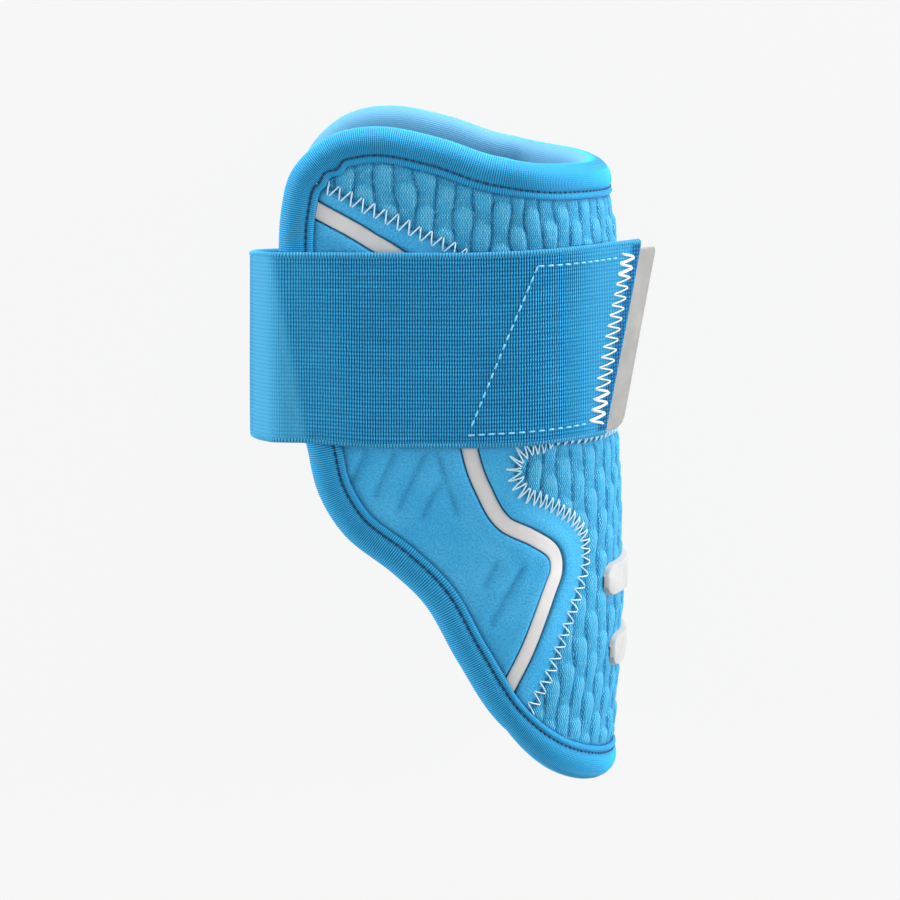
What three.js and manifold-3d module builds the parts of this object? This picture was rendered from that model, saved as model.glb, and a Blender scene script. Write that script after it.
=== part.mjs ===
// A batter's elbow guard: a padded U-shaped shell with knitted front panels, a smooth wrap panel with an
// inlaid stripe on each side, a bound edge, and an elastic strap that closes round the back of the arm.
// Units are millimetres. The guard lies on its far side, on the strap. +X is the round front, +Y runs
// along the arm towards the shoulder, and +Z points up from the far side to the near side.

import * as THREE from 'three';
import { mergeVertices } from 'three/addons/utils/BufferGeometryUtils.js';
import Module from 'manifold-3d';

const wasm = await Module();
wasm.setup();

// Driving sizes
const HALF_WIDTH = 46;
const SIDE_FRONT = 16; // how far ahead of the arm axis the side walls run straight
const ROUND_GIRTH = 61.5; // from the front's middle line to the end of a straight side wall
const OUTER_LAYER = 2.7;
const LINING_LAYER = 4;
const GAP = 0.3;
const WALL = OUTER_LAYER + GAP + LINING_LAYER;

const STRAP_THICKNESS = 1.8;
const STRAP_WIDTH = 55.5;
const STRAP_STANDOFF = 1.5; // the strap rides on the edge binding, clear of the panels
const MIDDLE_Z = HALF_WIDTH + STRAP_STANDOFF + STRAP_THICKNESS;

// Form of the shell's outer face, up the arm: how far the round front reaches ahead of the arm axis,
// and half the width across the side walls
const FORM = [
  { y: -145, front: 45.5, half: 41 },
  { y: -112, front: 47.6, half: 43 },
  { y: -90, front: 49.3, half: 44.5 },
  { y: -62, front: 49.4, half: 45.5 },
  { y: -30, front: 48.2, half: HALF_WIDTH },
  { y: 0, front: 47.6, half: HALF_WIDTH },
  { y: 30, front: 47, half: HALF_WIDTH },
  { y: 52, front: 43.6, half: HALF_WIDTH },
  { y: 80, front: 41, half: HALF_WIDTH },
];
const SHELL_TOP = 72;
const SHELL_BOTTOM = -140;
const SHELL_BACK = 76; // length of the uncut straight side walls
const SHELL_ROWS = 12;
const ROUND_COLUMNS = 24;
const CUT_ABOVE = 1; // how far a cut into the outer face starts above it

// Finished edge of the guard on one side, from the middle of the front's top, round the back, to the
// middle of the front's tip: girth from the front's middle line, and height along the arm
const EDGE = [
  { girth: 0, y: 52.5 },
  { girth: 28, y: 53.4 },
  { girth: 48.6, y: 54.4 },
  { girth: 65.8, y: 56.8 },
  { girth: 80.7, y: 61.7 },
  { girth: 97.7, y: 65 },
  { girth: 109.7, y: 63.6 },
  { girth: 117.7, y: 59.2 },
  { girth: 124.5, y: 51.4 },
  { girth: 127.2, y: 41 },
  { girth: 128, y: 29 },
  { girth: 127.2, y: 8 },
  { girth: 124.2, y: -12 },
  { girth: 120.2, y: -28 },
  { girth: 116.7, y: -42.5 },
  { girth: 109, y: -55 },
  { girth: 94.6, y: -66.5 },
  { girth: 85.5, y: -75.6 },
  { girth: 76.3, y: -92 },
  { girth: 64.3, y: -110.5 },
  { girth: 46.7, y: -123.7 },
  { girth: 25, y: -130.8 },
  { girth: 0, y: -133 },
];
const EDGE_STATIONS = 94;
const WALL_INSET = 4.2; // from the finished edge to the edge of the wall inside the binding

// Section of the edge binding, from the end of its outer arm round the rolled edge to its inner arm and
// back through the slot: inset from the finished edge, and depth below the shell's outer face
const BINDING_GAP = 0.4;
const BINDING = [
  { inset: 10.4, depth: -BINDING_GAP },
  { inset: 9.3, depth: -1.1 },
  { inset: 8.1, depth: -0.7 },
  { inset: 5.4, depth: -1.2 },
  { inset: 2.6, depth: -0.9 },
  { inset: 0.7, depth: 1.1 },
  { inset: 0, depth: WALL / 2 },
  { inset: 0.7, depth: WALL - 1.1 },
  { inset: 2.6, depth: WALL + 0.9 },
  { inset: 5.4, depth: WALL + 1.2 },
  { inset: 9.3, depth: WALL + BINDING_GAP },
  { inset: 2, depth: WALL + BINDING_GAP },
  { inset: 2, depth: -BINDING_GAP },
];

// Seams between the wrap panel and the knit, seen from the side: distance ahead of the arm axis, and height
const UPPER_SEAM = [
  { x: -62, y: 61 },
  { x: -36.6, y: 47.6 },
  { x: -12.4, y: 35.8 },
  { x: 2, y: 28.8 },
  { x: 18, y: 19 },
  { x: 36, y: 9 },
  { x: 62, y: 4 },
];
const UPPER_SEAM_PIECES = 16;
const LOWER_SEAM = [
  { x: 62, y: -28.2 },
  { x: 44, y: -28.2 },
  { x: 27, y: -27.8 },
  { x: 21.2, y: -29.8 },
  { x: 18.5, y: -34.6 },
  { x: 21.5, y: -41.4 },
  { x: 28.4, y: -45 },
  { x: 36.4, y: -51.7 },
  { x: 39, y: -59.8 },
  { x: 37.8, y: -69.3 },
  { x: 32.8, y: -84.4 },
  { x: 26.2, y: -100.6 },
  { x: 10, y: -127 },
];
const LOWER_SEAM_PIECES = 44;

// Middle line of the inlaid stripe, seen from the side
const STRIPE = [
  { x: -56, y: 50.4 },
  { x: -39.2, y: 40.9 },
  { x: -24.5, y: 32.7 },
  { x: -10, y: 22 },
  { x: 1, y: 0 },
  { x: 5.2, y: -28.9 },
  { x: 9.8, y: -42 },
  { x: 15, y: -50.3 },
  { x: 23.5, y: -54.8 },
  { x: 29.5, y: -59.2 },
  { x: 30.8, y: -64.8 },
  { x: 28.7, y: -71.4 },
  { x: 23, y: -86.7 },
  { x: 17.9, y: -97.2 },
  { x: 9, y: -114 },
];
const STRIPE_PIECES = 44;
const STRIPE_WIDTH = 4.6;
const STRIPE_RECESS = 0.4;
const STRIPE_THICKNESS = 0.9;

// Grooves pressed into each side of the wrap panel, seen from the side: upper end and lower end
const GROOVES = [
  { x1: -24.7, y1: -29.6, x2: -29, y2: -37.6 },
  { x1: -17, y1: -30.5, x2: -22.2, y2: -42.3 },
  { x1: -7.8, y1: -30.4, x2: -15.5, y2: -46.2 },
  { x1: -3.9, y1: -39.5, x2: -8.5, y2: -48.3 },
  { x1: -4.3, y1: -30.1, x2: 1.5, y2: -47.4 },
  { x1: 13, y1: -62.9, x2: 10, y2: -68.5 },
  { x1: 20.2, y1: -64.2, x2: 11.7, y2: -80.4 },
];
const GROOVE_WIDTH = 1;
const GROOVE_DEPTH = 0.6;

// Strap, seen along the arm: rounded corners behind the side walls, a bowed back, and a free end that
// leaves the front on a tangent and is cut on a slant
const CORNER_X = -46.5;
const CORNER_RADIUS = 7;
const CORNER_TURN = THREE.MathUtils.degToRad(70);
const LIFT_ANGLE = THREE.MathUtils.degToRad(48); // on the round front, from its middle line
const END_SHORT = 8.1;
const END_LONG = 24.9;
const STRAP_LEVEL = 1.1; // height of the strap's middle on the near side wall
const END_RISE = 1.2; // how much higher the free end lies than that
const SEWN_ANGLE = THREE.MathUtils.degToRad(68); // where the far end is sewn down, from the same line
const SEWN_SLOPE = 5; // length over which the strap comes down to its sewn end
const FAR_DROP = 8.4; // how much lower the strap lies on the far side
const BEND_STEPS = 8;

const TAB_TOP = 24.8; // from the strap's middle
const TAB_BOTTOM = -27.1;
const TAB_THICKNESS = 1;
const TAB_ROOT = 6;
const TAB_REACH = 10.4;

// Hook patch under the strap's free end, with a slanted back edge
const HOOK_WIDTH = 48;
const HOOK_THICKNESS = 0.8;
const HOOK_TOP_X = 24.6;
const HOOK_BOTTOM_X = 4.8;

// Plain raised bars on the front: height along the arm, half their girth and half their width
const BARS = [
  { name: 'front_bar_upper', y: -71, halfGirth: 23, halfHeight: 5 },
  { name: 'front_bar_lower', y: -93, halfGirth: 18, halfHeight: 5 },
];
const BAR_THICKNESS = 1.4;
const BAR_BLUNT = 0.35; // share of a bar's width that is left at its very ends

const COLOURS = {
  knit: { color: 0x4aa3d3, roughness: 0.9 },
  panel: { color: 0x4ba9dd, roughness: 0.85 },
  lining: { color: 0x45a0d2, roughness: 0.9 },
  binding: { color: 0x3a9bcb, roughness: 0.85 },
  strap: { color: 0x2b7fb3, roughness: 0.85 },
  hook: { color: 0x2a6f9e, roughness: 0.8 },
  stripe: { color: 0xdfe3e2, roughness: 0.5 },
  tab: { color: 0xb4b5b3, roughness: 0.55 },
  bar: { color: 0xe9ebeb, roughness: 0.45 },
};

// Form
const form = new THREE.CubicInterpolant(
  FORM.map((row) => row.y),
  FORM.flatMap((row) => [row.front, row.half]),
  2,
);

// Point of the shell at a girth from the front's middle line, a height, and a depth below the outer face
function shell(girth, y, depth) {
  const [front, half] = form.evaluate(y);
  const round = front - SIDE_FRONT;
  const side = girth < 0 ? -1 : 1;
  const behind = Math.max(0, Math.abs(girth) - ROUND_GIRTH);
  const angle = Math.min(1, Math.abs(girth) / ROUND_GIRTH) * Math.PI / 2;
  const normal = new THREE.Vector2(Math.cos(angle) / round, Math.sin(angle) / half).normalize();
  return new THREE.Vector3(
    SIDE_FRONT + round * Math.cos(angle) - behind - depth * normal.x,
    y,
    MIDDLE_Z + side * (half * Math.sin(angle) - depth * normal.y),
  );
}

// Solids
function geometryOf(points, triangles) {
  const geometry = new THREE.BufferGeometry().setFromPoints(points);
  geometry.setIndex(triangles);
  return geometry;
}

// Closed solid between an outer and an inner grid of points, at(across, along, face) with face 0 or 1
function slab(columns, rows, at) {
  const points = [];
  const triangles = [];
  const index = (i, j, face) => (face * (columns + 1) + i) * (rows + 1) + j;
  const quad = (a, b, c, d) => triangles.push(a, b, c, a, c, d);
  for (const face of [0, 1]) {
    for (let i = 0; i <= columns; i += 1) {
      for (let j = 0; j <= rows; j += 1) points.push(at(i, j, face));
    }
  }
  for (let i = 0; i < columns; i += 1) {
    for (let j = 0; j < rows; j += 1) {
      quad(index(i, j, 0), index(i, j + 1, 0), index(i + 1, j + 1, 0), index(i + 1, j, 0));
      quad(index(i, j, 1), index(i + 1, j, 1), index(i + 1, j + 1, 1), index(i, j + 1, 1));
    }
    quad(index(i, 0, 0), index(i + 1, 0, 0), index(i + 1, 0, 1), index(i, 0, 1));
    quad(index(i, rows, 0), index(i, rows, 1), index(i + 1, rows, 1), index(i + 1, rows, 0));
  }
  for (let j = 0; j < rows; j += 1) {
    quad(index(0, j, 0), index(0, j, 1), index(0, j + 1, 1), index(0, j + 1, 0));
    quad(index(columns, j, 0), index(columns, j + 1, 0), index(columns, j + 1, 1), index(columns, j, 1));
  }
  return geometryOf(points, triangles);
}

// Closed ring swept through stations, each with the same closed section, at(station, corner)
function ring(stations, corners, at) {
  const points = [];
  const triangles = [];
  const index = (i, j) => (i % stations) * corners + (j % corners);
  for (let i = 0; i < stations; i += 1) {
    for (let j = 0; j < corners; j += 1) points.push(at(i, j));
  }
  for (let i = 0; i < stations; i += 1) {
    for (let j = 0; j < corners; j += 1) {
      const [a, b, c, d] = [index(i, j), index(i, j + 1), index(i + 1, j + 1), index(i + 1, j)];
      triangles.push(a, b, c, a, c, d);
    }
  }
  return geometryOf(points, triangles);
}

function solid(geometry) {
  const bare = geometry.clone();
  bare.deleteAttribute('normal');
  bare.deleteAttribute('uv');
  const merged = mergeVertices(bare, 1e-4);
  return new wasm.Manifold(new wasm.Mesh({
    numProp: 3,
    vertProperties: new Float32Array(merged.attributes.position.array),
    triVerts: new Uint32Array(merged.index.array),
  }));
}

function meshed(manifold) {
  const { vertProperties, triVerts } = manifold.getMesh();
  const geometry = new THREE.BufferGeometry();
  geometry.setAttribute('position', new THREE.BufferAttribute(vertProperties, 3));
  geometry.setIndex(new THREE.BufferAttribute(triVerts, 1));
  return geometry;
}

// Straight cut through the guard from its near side to its far side, of an outline seen from the side
const FAR_CUT = MIDDLE_Z - 2 * HALF_WIDTH;
const NEAR_CUT = MIDDLE_Z + 2 * HALF_WIDTH;
function prism(outline, low = FAR_CUT, high = NEAR_CUT) {
  const geometry = new THREE.ExtrudeGeometry(new THREE.Shape(outline), {
    depth: high - low,
    bevelEnabled: false,
  });
  return solid(geometry.translate(0, 0, low));
}

// Whole U-shaped layer between two depths, before it is cut to outline
function layer(outerDepth, innerDepth) {
  const girths = [-(ROUND_GIRTH + SHELL_BACK)];
  for (let i = 0; i <= ROUND_COLUMNS; i += 1) girths.push(ROUND_GIRTH * (2 * i / ROUND_COLUMNS - 1));
  girths.push(ROUND_GIRTH + SHELL_BACK);
  return solid(slab(girths.length - 1, SHELL_ROWS, (i, j, face) => {
    const y = THREE.MathUtils.lerp(SHELL_BOTTOM, SHELL_TOP, j / SHELL_ROWS);
    return shell(girths[i], y, face === 0 ? outerDepth : innerDepth);
  }));
}

// Curves seen from the side
const vectors = (rows) => rows.map((row) => new THREE.Vector2(row.x, row.y));
const smooth = (rows, pieces) => new THREE.SplineCurve(vectors(rows)).getSpacedPoints(pieces);

// Points moved sideways, to the left of the way the curve runs
function shifted(points, distance) {
  return points.map((point, i) => {
    const before = points[Math.max(0, i - 1)];
    const after = points[Math.min(points.length - 1, i + 1)];
    const along = after.clone().sub(before).normalize();
    return new THREE.Vector2(point.x - along.y * distance, point.y + along.x * distance);
  });
}

// Finished edge as a closed loop on the flat pattern, and points set in from it
const edgeLoop = new THREE.CatmullRomCurve3([
  ...EDGE.map((row) => new THREE.Vector3(row.girth, row.y, 0)),
  ...EDGE.slice(1, -1).reverse().map((row) => new THREE.Vector3(-row.girth, row.y, 0)),
], true, 'centripetal');
const edgePoints = edgeLoop.getSpacedPoints(EDGE_STATIONS).slice(0, EDGE_STATIONS);
const edgeInward = edgePoints.map((point, i) => {
  const before = edgePoints[(i + EDGE_STATIONS - 1) % EDGE_STATIONS];
  const after = edgePoints[(i + 1) % EDGE_STATIONS];
  return new THREE.Vector2(after.y - before.y, before.x - after.x).normalize();
});
function insetEdge(station, inset) {
  const point = edgePoints[station];
  const inward = edgeInward[station];
  return { girth: point.x + inward.x * inset, y: point.y + inward.y * inset };
}

// Outline of the wall seen from the side, carried on ahead of the front
function wallOutline() {
  const ahead = 2 * HALF_WIDTH;
  const side = [];
  for (let i = 0; i <= EDGE_STATIONS / 2; i += 1) {
    const { girth, y } = insetEdge(i, WALL_INSET);
    const { x } = shell(girth, y, WALL / 2);
    side.push(new THREE.Vector2(x, y));
  }
  const top = new THREE.Vector2(ahead, side[0].y);
  const bottom = new THREE.Vector2(ahead, side[side.length - 1].y);
  return [top, ...side, bottom];
}

// Shell pieces
const wall = prism(wallOutline());
const outerLayer = layer(0, OUTER_LAYER).intersect(wall);
const upperSeam = smooth(UPPER_SEAM, UPPER_SEAM_PIECES);
const lowerSeam = smooth(LOWER_SEAM, LOWER_SEAM_PIECES);
const stripeLine = smooth(STRIPE, STRIPE_PIECES);

function wrapPanel() {
  const outline = [...upperSeam, ...lowerSeam];
  outline.push(new THREE.Vector2(-2 * HALF_WIDTH, LOWER_SEAM.at(-1).y));
  outline.push(new THREE.Vector2(-2 * HALF_WIDTH, UPPER_SEAM[0].y));
  const slotDepth = STRIPE_RECESS + STRIPE_THICKNESS + GAP;
  const slot = prism(stripeOutline(STRIPE_WIDTH / 2 + GAP)).intersect(layer(-CUT_ABOVE, slotDepth));
  let panel = outerLayer.intersect(prism(outline)).subtract(slot);
  const skin = layer(-CUT_ABOVE, GROOVE_DEPTH);
  for (const groove of GROOVES) {
    const line = [new THREE.Vector2(groove.x1, groove.y1), new THREE.Vector2(groove.x2, groove.y2)];
    const cut = prism([...shifted(line, GROOVE_WIDTH / 2), ...shifted(line, -GROOVE_WIDTH / 2).reverse()]);
    panel = panel.subtract(cut.intersect(skin));
  }
  return panel;
}

function stripeOutline(halfWidth) {
  return [...shifted(stripeLine, halfWidth), ...shifted(stripeLine, -halfWidth).reverse()];
}

function stripe(low, high) {
  const strip = layer(STRIPE_RECESS, STRIPE_RECESS + STRIPE_THICKNESS).intersect(wall);
  return strip.intersect(prism(stripeOutline(STRIPE_WIDTH / 2), low, high));
}

function upperKnit() {
  const seam = shifted(upperSeam, GAP);
  const above = SHELL_TOP + HALF_WIDTH;
  const outline = [...seam, new THREE.Vector2(seam.at(-1).x, above), new THREE.Vector2(seam[0].x, above)];
  return outerLayer.intersect(prism(outline));
}

function lowerKnit() {
  const seam = shifted(lowerSeam, GAP);
  const below = SHELL_BOTTOM - HALF_WIDTH;
  const outline = [...seam, new THREE.Vector2(seam.at(-1).x, below), new THREE.Vector2(seam[0].x, below)];
  return outerLayer.intersect(prism(outline));
}

function lining() {
  return layer(OUTER_LAYER + GAP, WALL).intersect(wall);
}

function edgeBinding() {
  return ring(EDGE_STATIONS, BINDING.length, (i, j) => {
    const { girth, y } = insetEdge(i, BINDING[j].inset);
    return shell(girth, y, BINDING[j].depth);
  });
}

function frontBar({ y, halfGirth, halfHeight }) {
  const columns = 16;
  const endShare = halfHeight / halfGirth;
  return slab(columns, 2, (i, j, face) => {
    const across = 1 - 2 * i / columns;
    const intoEnd = Math.max(0, (Math.abs(across) - (1 - endShare)) / endShare);
    const height = halfHeight * Math.max(BAR_BLUNT, Math.sqrt(1 - intoEnd ** 2));
    return shell(across * halfGirth, y + (1 - j) * height, face === 0 ? -GAP - BAR_THICKNESS : -GAP);
  });
}

// Strap
const frontReach = form.evaluate(-STRAP_WIDTH / 2)[0] - SIDE_FRONT;
const strapStep = STRAP_STANDOFF + STRAP_THICKNESS / 2;
const strapReach = HALF_WIDTH + strapStep;
const strapFront = frontReach + strapStep;
const liftPoint = new THREE.Vector2(
  SIDE_FRONT + strapFront * Math.cos(LIFT_ANGLE),
  strapReach * Math.sin(LIFT_ANGLE),
);
const liftWay = new THREE.Vector2(
  strapFront * Math.sin(LIFT_ANGLE),
  -strapReach * Math.cos(LIFT_ANGLE),
).normalize();

// Middle line of the strap from its sewn end to where it lifts, as x and height above the middle plane
function strapLine() {
  const cornerHeight = strapReach - CORNER_RADIUS;
  const turned = Math.PI / 2 + CORNER_TURN;
  const bowRadius = (cornerHeight + CORNER_RADIUS * Math.sin(turned)) / Math.sin(turned);
  const bowX = CORNER_X + (CORNER_RADIUS - bowRadius) * Math.cos(turned);
  const sewnStep = GAP + STRAP_THICKNESS / 2;
  const sewnX = SIDE_FRONT + (frontReach + sewnStep) * Math.cos(SEWN_ANGLE);
  const sewnHeight = -(HALF_WIDTH + sewnStep) * Math.sin(SEWN_ANGLE);
  const path = new THREE.Path();
  path.moveTo(sewnX, sewnHeight);
  path.quadraticCurveTo(SIDE_FRONT + SEWN_SLOPE, -strapReach, SIDE_FRONT, -strapReach);
  path.lineTo(CORNER_X, -strapReach);
  path.absarc(CORNER_X, -cornerHeight, CORNER_RADIUS, -Math.PI / 2, -turned, true);
  path.absarc(bowX, 0, bowRadius, -turned, turned - 2 * Math.PI, true);
  path.absarc(CORNER_X, cornerHeight, CORNER_RADIUS, turned, Math.PI / 2, true);
  path.lineTo(SIDE_FRONT, strapReach);
  path.absellipse(SIDE_FRONT, 0, strapFront, strapReach, Math.PI / 2, LIFT_ANGLE, true);
  const points = path.getPoints(BEND_STEPS);
  return points.filter((point, i) => i === 0 || point.distanceTo(points[i - 1]) > GAP);
}

// Length of the free end past the lift point, at a height across the strap
function endLength(y) {
  return THREE.MathUtils.mapLinear(y, -STRAP_WIDTH / 2, STRAP_WIDTH / 2, END_SHORT, END_LONG);
}

// Point at a distance along the free end, standing off from the strap's middle line
function onFreeEnd(y, distance, offset) {
  const x = liftPoint.x + liftWay.x * distance - liftWay.y * offset;
  const height = liftPoint.y + liftWay.y * distance + liftWay.x * offset;
  return new THREE.Vector3(x, y + STRAP_LEVEL + END_RISE, MIDDLE_Z + height);
}

// Height of the strap's middle, which climbs on the near front and drops as it passes round the back
function strapMiddle({ x, y: height }) {
  if (height > 0 && x > 0) return STRAP_LEVEL + END_RISE * THREE.MathUtils.smoothstep(x, 0, liftPoint.x);
  return STRAP_LEVEL - FAR_DROP * (strapReach - height) / (2 * strapReach);
}

function strap() {
  const line = strapLine();
  const endSteps = 3;
  const last = line.length - 1;
  return slab(last + endSteps, 1, (i, j, face) => {
    const offset = (face === 0 ? 1 : -1) * STRAP_THICKNESS / 2;
    const across = j === 0 ? STRAP_WIDTH / 2 : -STRAP_WIDTH / 2;
    if (i >= last) return onFreeEnd(across, endLength(across) * (i - last) / endSteps, offset);
    const along = line[i + 1].clone().sub(line[Math.max(0, i - 1)]).normalize();
    const y = across + strapMiddle(line[i]);
    return new THREE.Vector3(line[i].x - along.y * offset, y, MIDDLE_Z + line[i].y + along.x * offset);
  });
}

function hookPatch() {
  const roundSteps = 8;
  const endSteps = 2;
  const rows = 6;
  const top = -STRAP_THICKNESS / 2 - GAP;
  return slab(roundSteps + endSteps, rows, (i, j, face) => {
    const offset = face === 0 ? top : top - HOOK_THICKNESS;
    const y = HOOK_WIDTH * (0.5 - j / rows);
    if (i >= roundSteps) {
      const reach = endLength(y) - TAB_ROOT - GAP;
      return onFreeEnd(y, reach * (i - roundSteps) / endSteps, offset);
    }
    const start = THREE.MathUtils.lerp(HOOK_TOP_X, HOOK_BOTTOM_X, j / rows);
    const x = THREE.MathUtils.lerp(start, liftPoint.x, i / roundSteps);
    const angle = Math.acos(Math.max(0, x - SIDE_FRONT) / strapFront);
    return new THREE.Vector3(
      Math.min(x, SIDE_FRONT) + (strapFront + offset) * Math.cos(angle),
      y + strapMiddle({ x, y: strapReach }),
      MIDDLE_Z + (strapReach + offset) * Math.sin(angle),
    );
  });
}

function pullTab() {
  const top = -STRAP_THICKNESS / 2 - GAP;
  return slab(2, 1, (i, j, face) => {
    const y = j === 0 ? TAB_TOP : TAB_BOTTOM;
    const distance = endLength(y) + [-TAB_ROOT, 0, TAB_REACH][i];
    return onFreeEnd(y, distance, face === 0 ? top : top - TAB_THICKNESS);
  });
}

// Assembly
const guard = new THREE.Group();
guard.name = 'elbow_guard';

function add(name, geometry, look) {
  geometry.computeVertexNormals();
  const mesh = new THREE.Mesh(geometry, new THREE.MeshStandardMaterial({ ...look, metalness: 0 }));
  mesh.name = name;
  guard.add(mesh);
}

add('knit_upper', meshed(upperKnit()), COLOURS.knit);
add('knit_lower', meshed(lowerKnit()), COLOURS.knit);
add('wrap_panel', meshed(wrapPanel()), COLOURS.panel);
add('stripe_near', meshed(stripe(MIDDLE_Z, NEAR_CUT)), COLOURS.stripe);
add('stripe_far', meshed(stripe(FAR_CUT, MIDDLE_Z)), COLOURS.stripe);
add('lining', meshed(lining()), COLOURS.lining);
add('edge_binding', meshed(solid(edgeBinding())), COLOURS.binding);
for (const bar of BARS) add(bar.name, frontBar(bar), COLOURS.bar);
add('strap', strap(), COLOURS.strap);
add('hook_patch', hookPatch(), COLOURS.hook);
add('pull_tab', pullTab(), COLOURS.tab);

export default guard;
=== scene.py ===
"""Looks of the batter's elbow guard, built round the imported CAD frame.

The tables repeat the CAD's driving values in millimetres, and add_piece() turns points into metres.
A place on the shell is a girth from the front's middle line (near side positive) and a height along
the arm, which together make the flat pattern, and a depth below the shell's outer face.
"""

import math

import bpy
import numpy as np
from mathutils import Matrix, Vector
from mathutils.geometry import delaunay_2d_cdt


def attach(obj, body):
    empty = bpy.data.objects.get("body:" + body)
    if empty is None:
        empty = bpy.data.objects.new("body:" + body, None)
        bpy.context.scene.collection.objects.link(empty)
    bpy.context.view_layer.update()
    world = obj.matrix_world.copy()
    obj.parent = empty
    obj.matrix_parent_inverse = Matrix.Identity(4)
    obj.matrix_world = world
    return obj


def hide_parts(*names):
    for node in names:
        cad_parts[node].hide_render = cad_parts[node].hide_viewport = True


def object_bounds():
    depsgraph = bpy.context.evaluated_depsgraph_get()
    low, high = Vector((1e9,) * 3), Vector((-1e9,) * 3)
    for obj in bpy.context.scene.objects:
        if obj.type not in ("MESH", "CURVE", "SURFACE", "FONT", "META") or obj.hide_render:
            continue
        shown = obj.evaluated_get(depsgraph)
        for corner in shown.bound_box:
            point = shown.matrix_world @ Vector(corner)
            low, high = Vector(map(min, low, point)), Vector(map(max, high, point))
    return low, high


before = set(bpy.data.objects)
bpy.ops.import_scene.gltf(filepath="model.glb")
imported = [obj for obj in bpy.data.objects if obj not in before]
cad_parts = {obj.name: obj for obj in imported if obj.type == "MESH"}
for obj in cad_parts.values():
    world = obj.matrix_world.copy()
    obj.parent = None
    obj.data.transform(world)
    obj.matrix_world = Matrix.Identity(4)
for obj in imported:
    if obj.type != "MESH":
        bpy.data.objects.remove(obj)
cad_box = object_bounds()

MM = 0.001
TURN = 2 * math.pi

# Shell
HALF_WIDTH = 46.0
SIDE_FRONT = 16.0
ROUND_GIRTH = 61.5
OUTER_LAYER = 2.7
GAP = 0.3
WALL = 7.0
STRAP_THICKNESS = 1.8
STRAP_WIDTH = 55.5
STRAP_STANDOFF = 1.5
MIDDLE_Z = HALF_WIDTH + STRAP_STANDOFF + STRAP_THICKNESS

# Height along the arm, reach of the round front, half the width across the side walls
FORM = np.array([
    (-145, 45.5, 41), (-112, 47.6, 43), (-90, 49.3, 44.5), (-62, 49.4, 45.5), (-30, 48.2, 46),
    (0, 47.6, 46), (30, 47, 46), (52, 43.6, 46), (80, 41, 46),
], float)

# Finished edge of one side on the flat pattern
EDGE = np.array([
    (0, 52.5), (28, 53.4), (48.6, 54.4), (65.8, 56.8), (80.7, 61.7), (97.7, 65), (109.7, 63.6),
    (117.7, 59.2), (124.5, 51.4), (127.2, 41), (128, 29), (127.2, 8), (124.2, -12), (120.2, -28),
    (116.7, -42.5), (109, -55), (94.6, -66.5), (85.5, -75.6), (76.3, -92), (64.3, -110.5),
    (46.7, -123.7), (25, -130.8), (0, -133),
], float)

# Lines seen from the side: distance ahead of the arm axis, height along the arm
UPPER_SEAM = np.array([
    (-62, 61), (-36.6, 47.6), (-12.4, 35.8), (2, 28.8), (18, 19), (36, 9), (62, 4),
], float)
LOWER_SEAM = np.array([
    (62, -28.2), (44, -28.2), (27, -27.8), (21.2, -29.8), (18.5, -34.6), (21.5, -41.4), (28.4, -45),
    (36.4, -51.7), (39, -59.8), (37.8, -69.3), (32.8, -84.4), (26.2, -100.6), (10, -127),
], float)
STRIPE = np.array([
    (-56, 50.4), (-39.2, 40.9), (-24.5, 32.7), (-10, 22), (1, 0), (5.2, -28.9), (9.8, -42),
    (15, -50.3), (23.5, -54.8), (29.5, -59.2), (30.8, -64.8), (28.7, -71.4), (23, -86.7),
    (17.9, -97.2), (9, -114),
], float)
STRIPE_HALF = 2.3
STRIPE_RECESS = 0.4
STRIPE_THICKNESS = 0.9
CREASES = [
    ((-24.7, -29.6), (-29, -37.6)), ((-17, -30.5), (-22.2, -42.3)), ((-7.8, -30.4), (-15.5, -46.2)),
    ((-3.9, -39.5), (-8.5, -48.3)), ((-4.3, -30.1), (1.5, -47.4)), ((13, -62.9), (10, -68.5)),
    ((20.2, -64.2), (11.7, -80.4)),
]

# Front bars: node, height along the arm, half their girth, half their width
BARS = [("front_bar_upper", -71, 23, 5), ("front_bar_lower", -93, 18, 5)]
BAR_THICKNESS = 1.4
BAR_BLUNT = 0.35

# Strap
CORNER_X = -46.5
CORNER_RADIUS = 7.0
CORNER_TURN = math.radians(70)
LIFT_ANGLE = math.radians(48)
SEWN_ANGLE = math.radians(68)
SEWN_SLOPE = 5.0
END_SHORT = 8.1
END_LONG = 24.9
STRAP_LEVEL = 1.1
END_RISE = 1.2
FAR_DROP = 8.4
STRAP_SLACK = 0.027
TAB_TOP = 24.8
TAB_BOTTOM = -27.1
TAB_THICKNESS = 1.0
TAB_ROOT = 6.0
TAB_REACH = 10.4
HOOK_WIDTH = 48.0
HOOK_THICKNESS = 0.8
HOOK_TOP_X = 24.6
HOOK_BOTTOM_X = 4.8


# Curves and the shell's form
def smoothstep(value, low, high):
    share = np.clip((value - low) / (high - low), 0, 1)
    return share * share * (3 - 2 * share)


def bell(value, width):
    """A hump of height 1 round 0."""
    return np.exp(-((value / width) ** 2))


def quarter_round(share):
    """Height of a rounded edge, from 0 at share 0 to 1 at share 1."""
    return np.sqrt(1 - (1 - np.clip(share, 0, 1)) ** 2)


def unit(vectors):
    return vectors / np.linalg.norm(vectors, axis=-1, keepdims=True)


def lengths(line):
    """Length along a line at each of its points."""
    return np.concatenate([[0], np.cumsum(np.linalg.norm(np.diff(line, axis=0), axis=1))])


def paired(a, b):
    """Two sets of values, broadcast together, as points of the flat pattern."""
    return np.stack(np.broadcast_arrays(a, b), -1)


def closing(loop):
    """A loop with its first point again at its end."""
    return np.concatenate([loop, loop[:1]])


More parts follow.
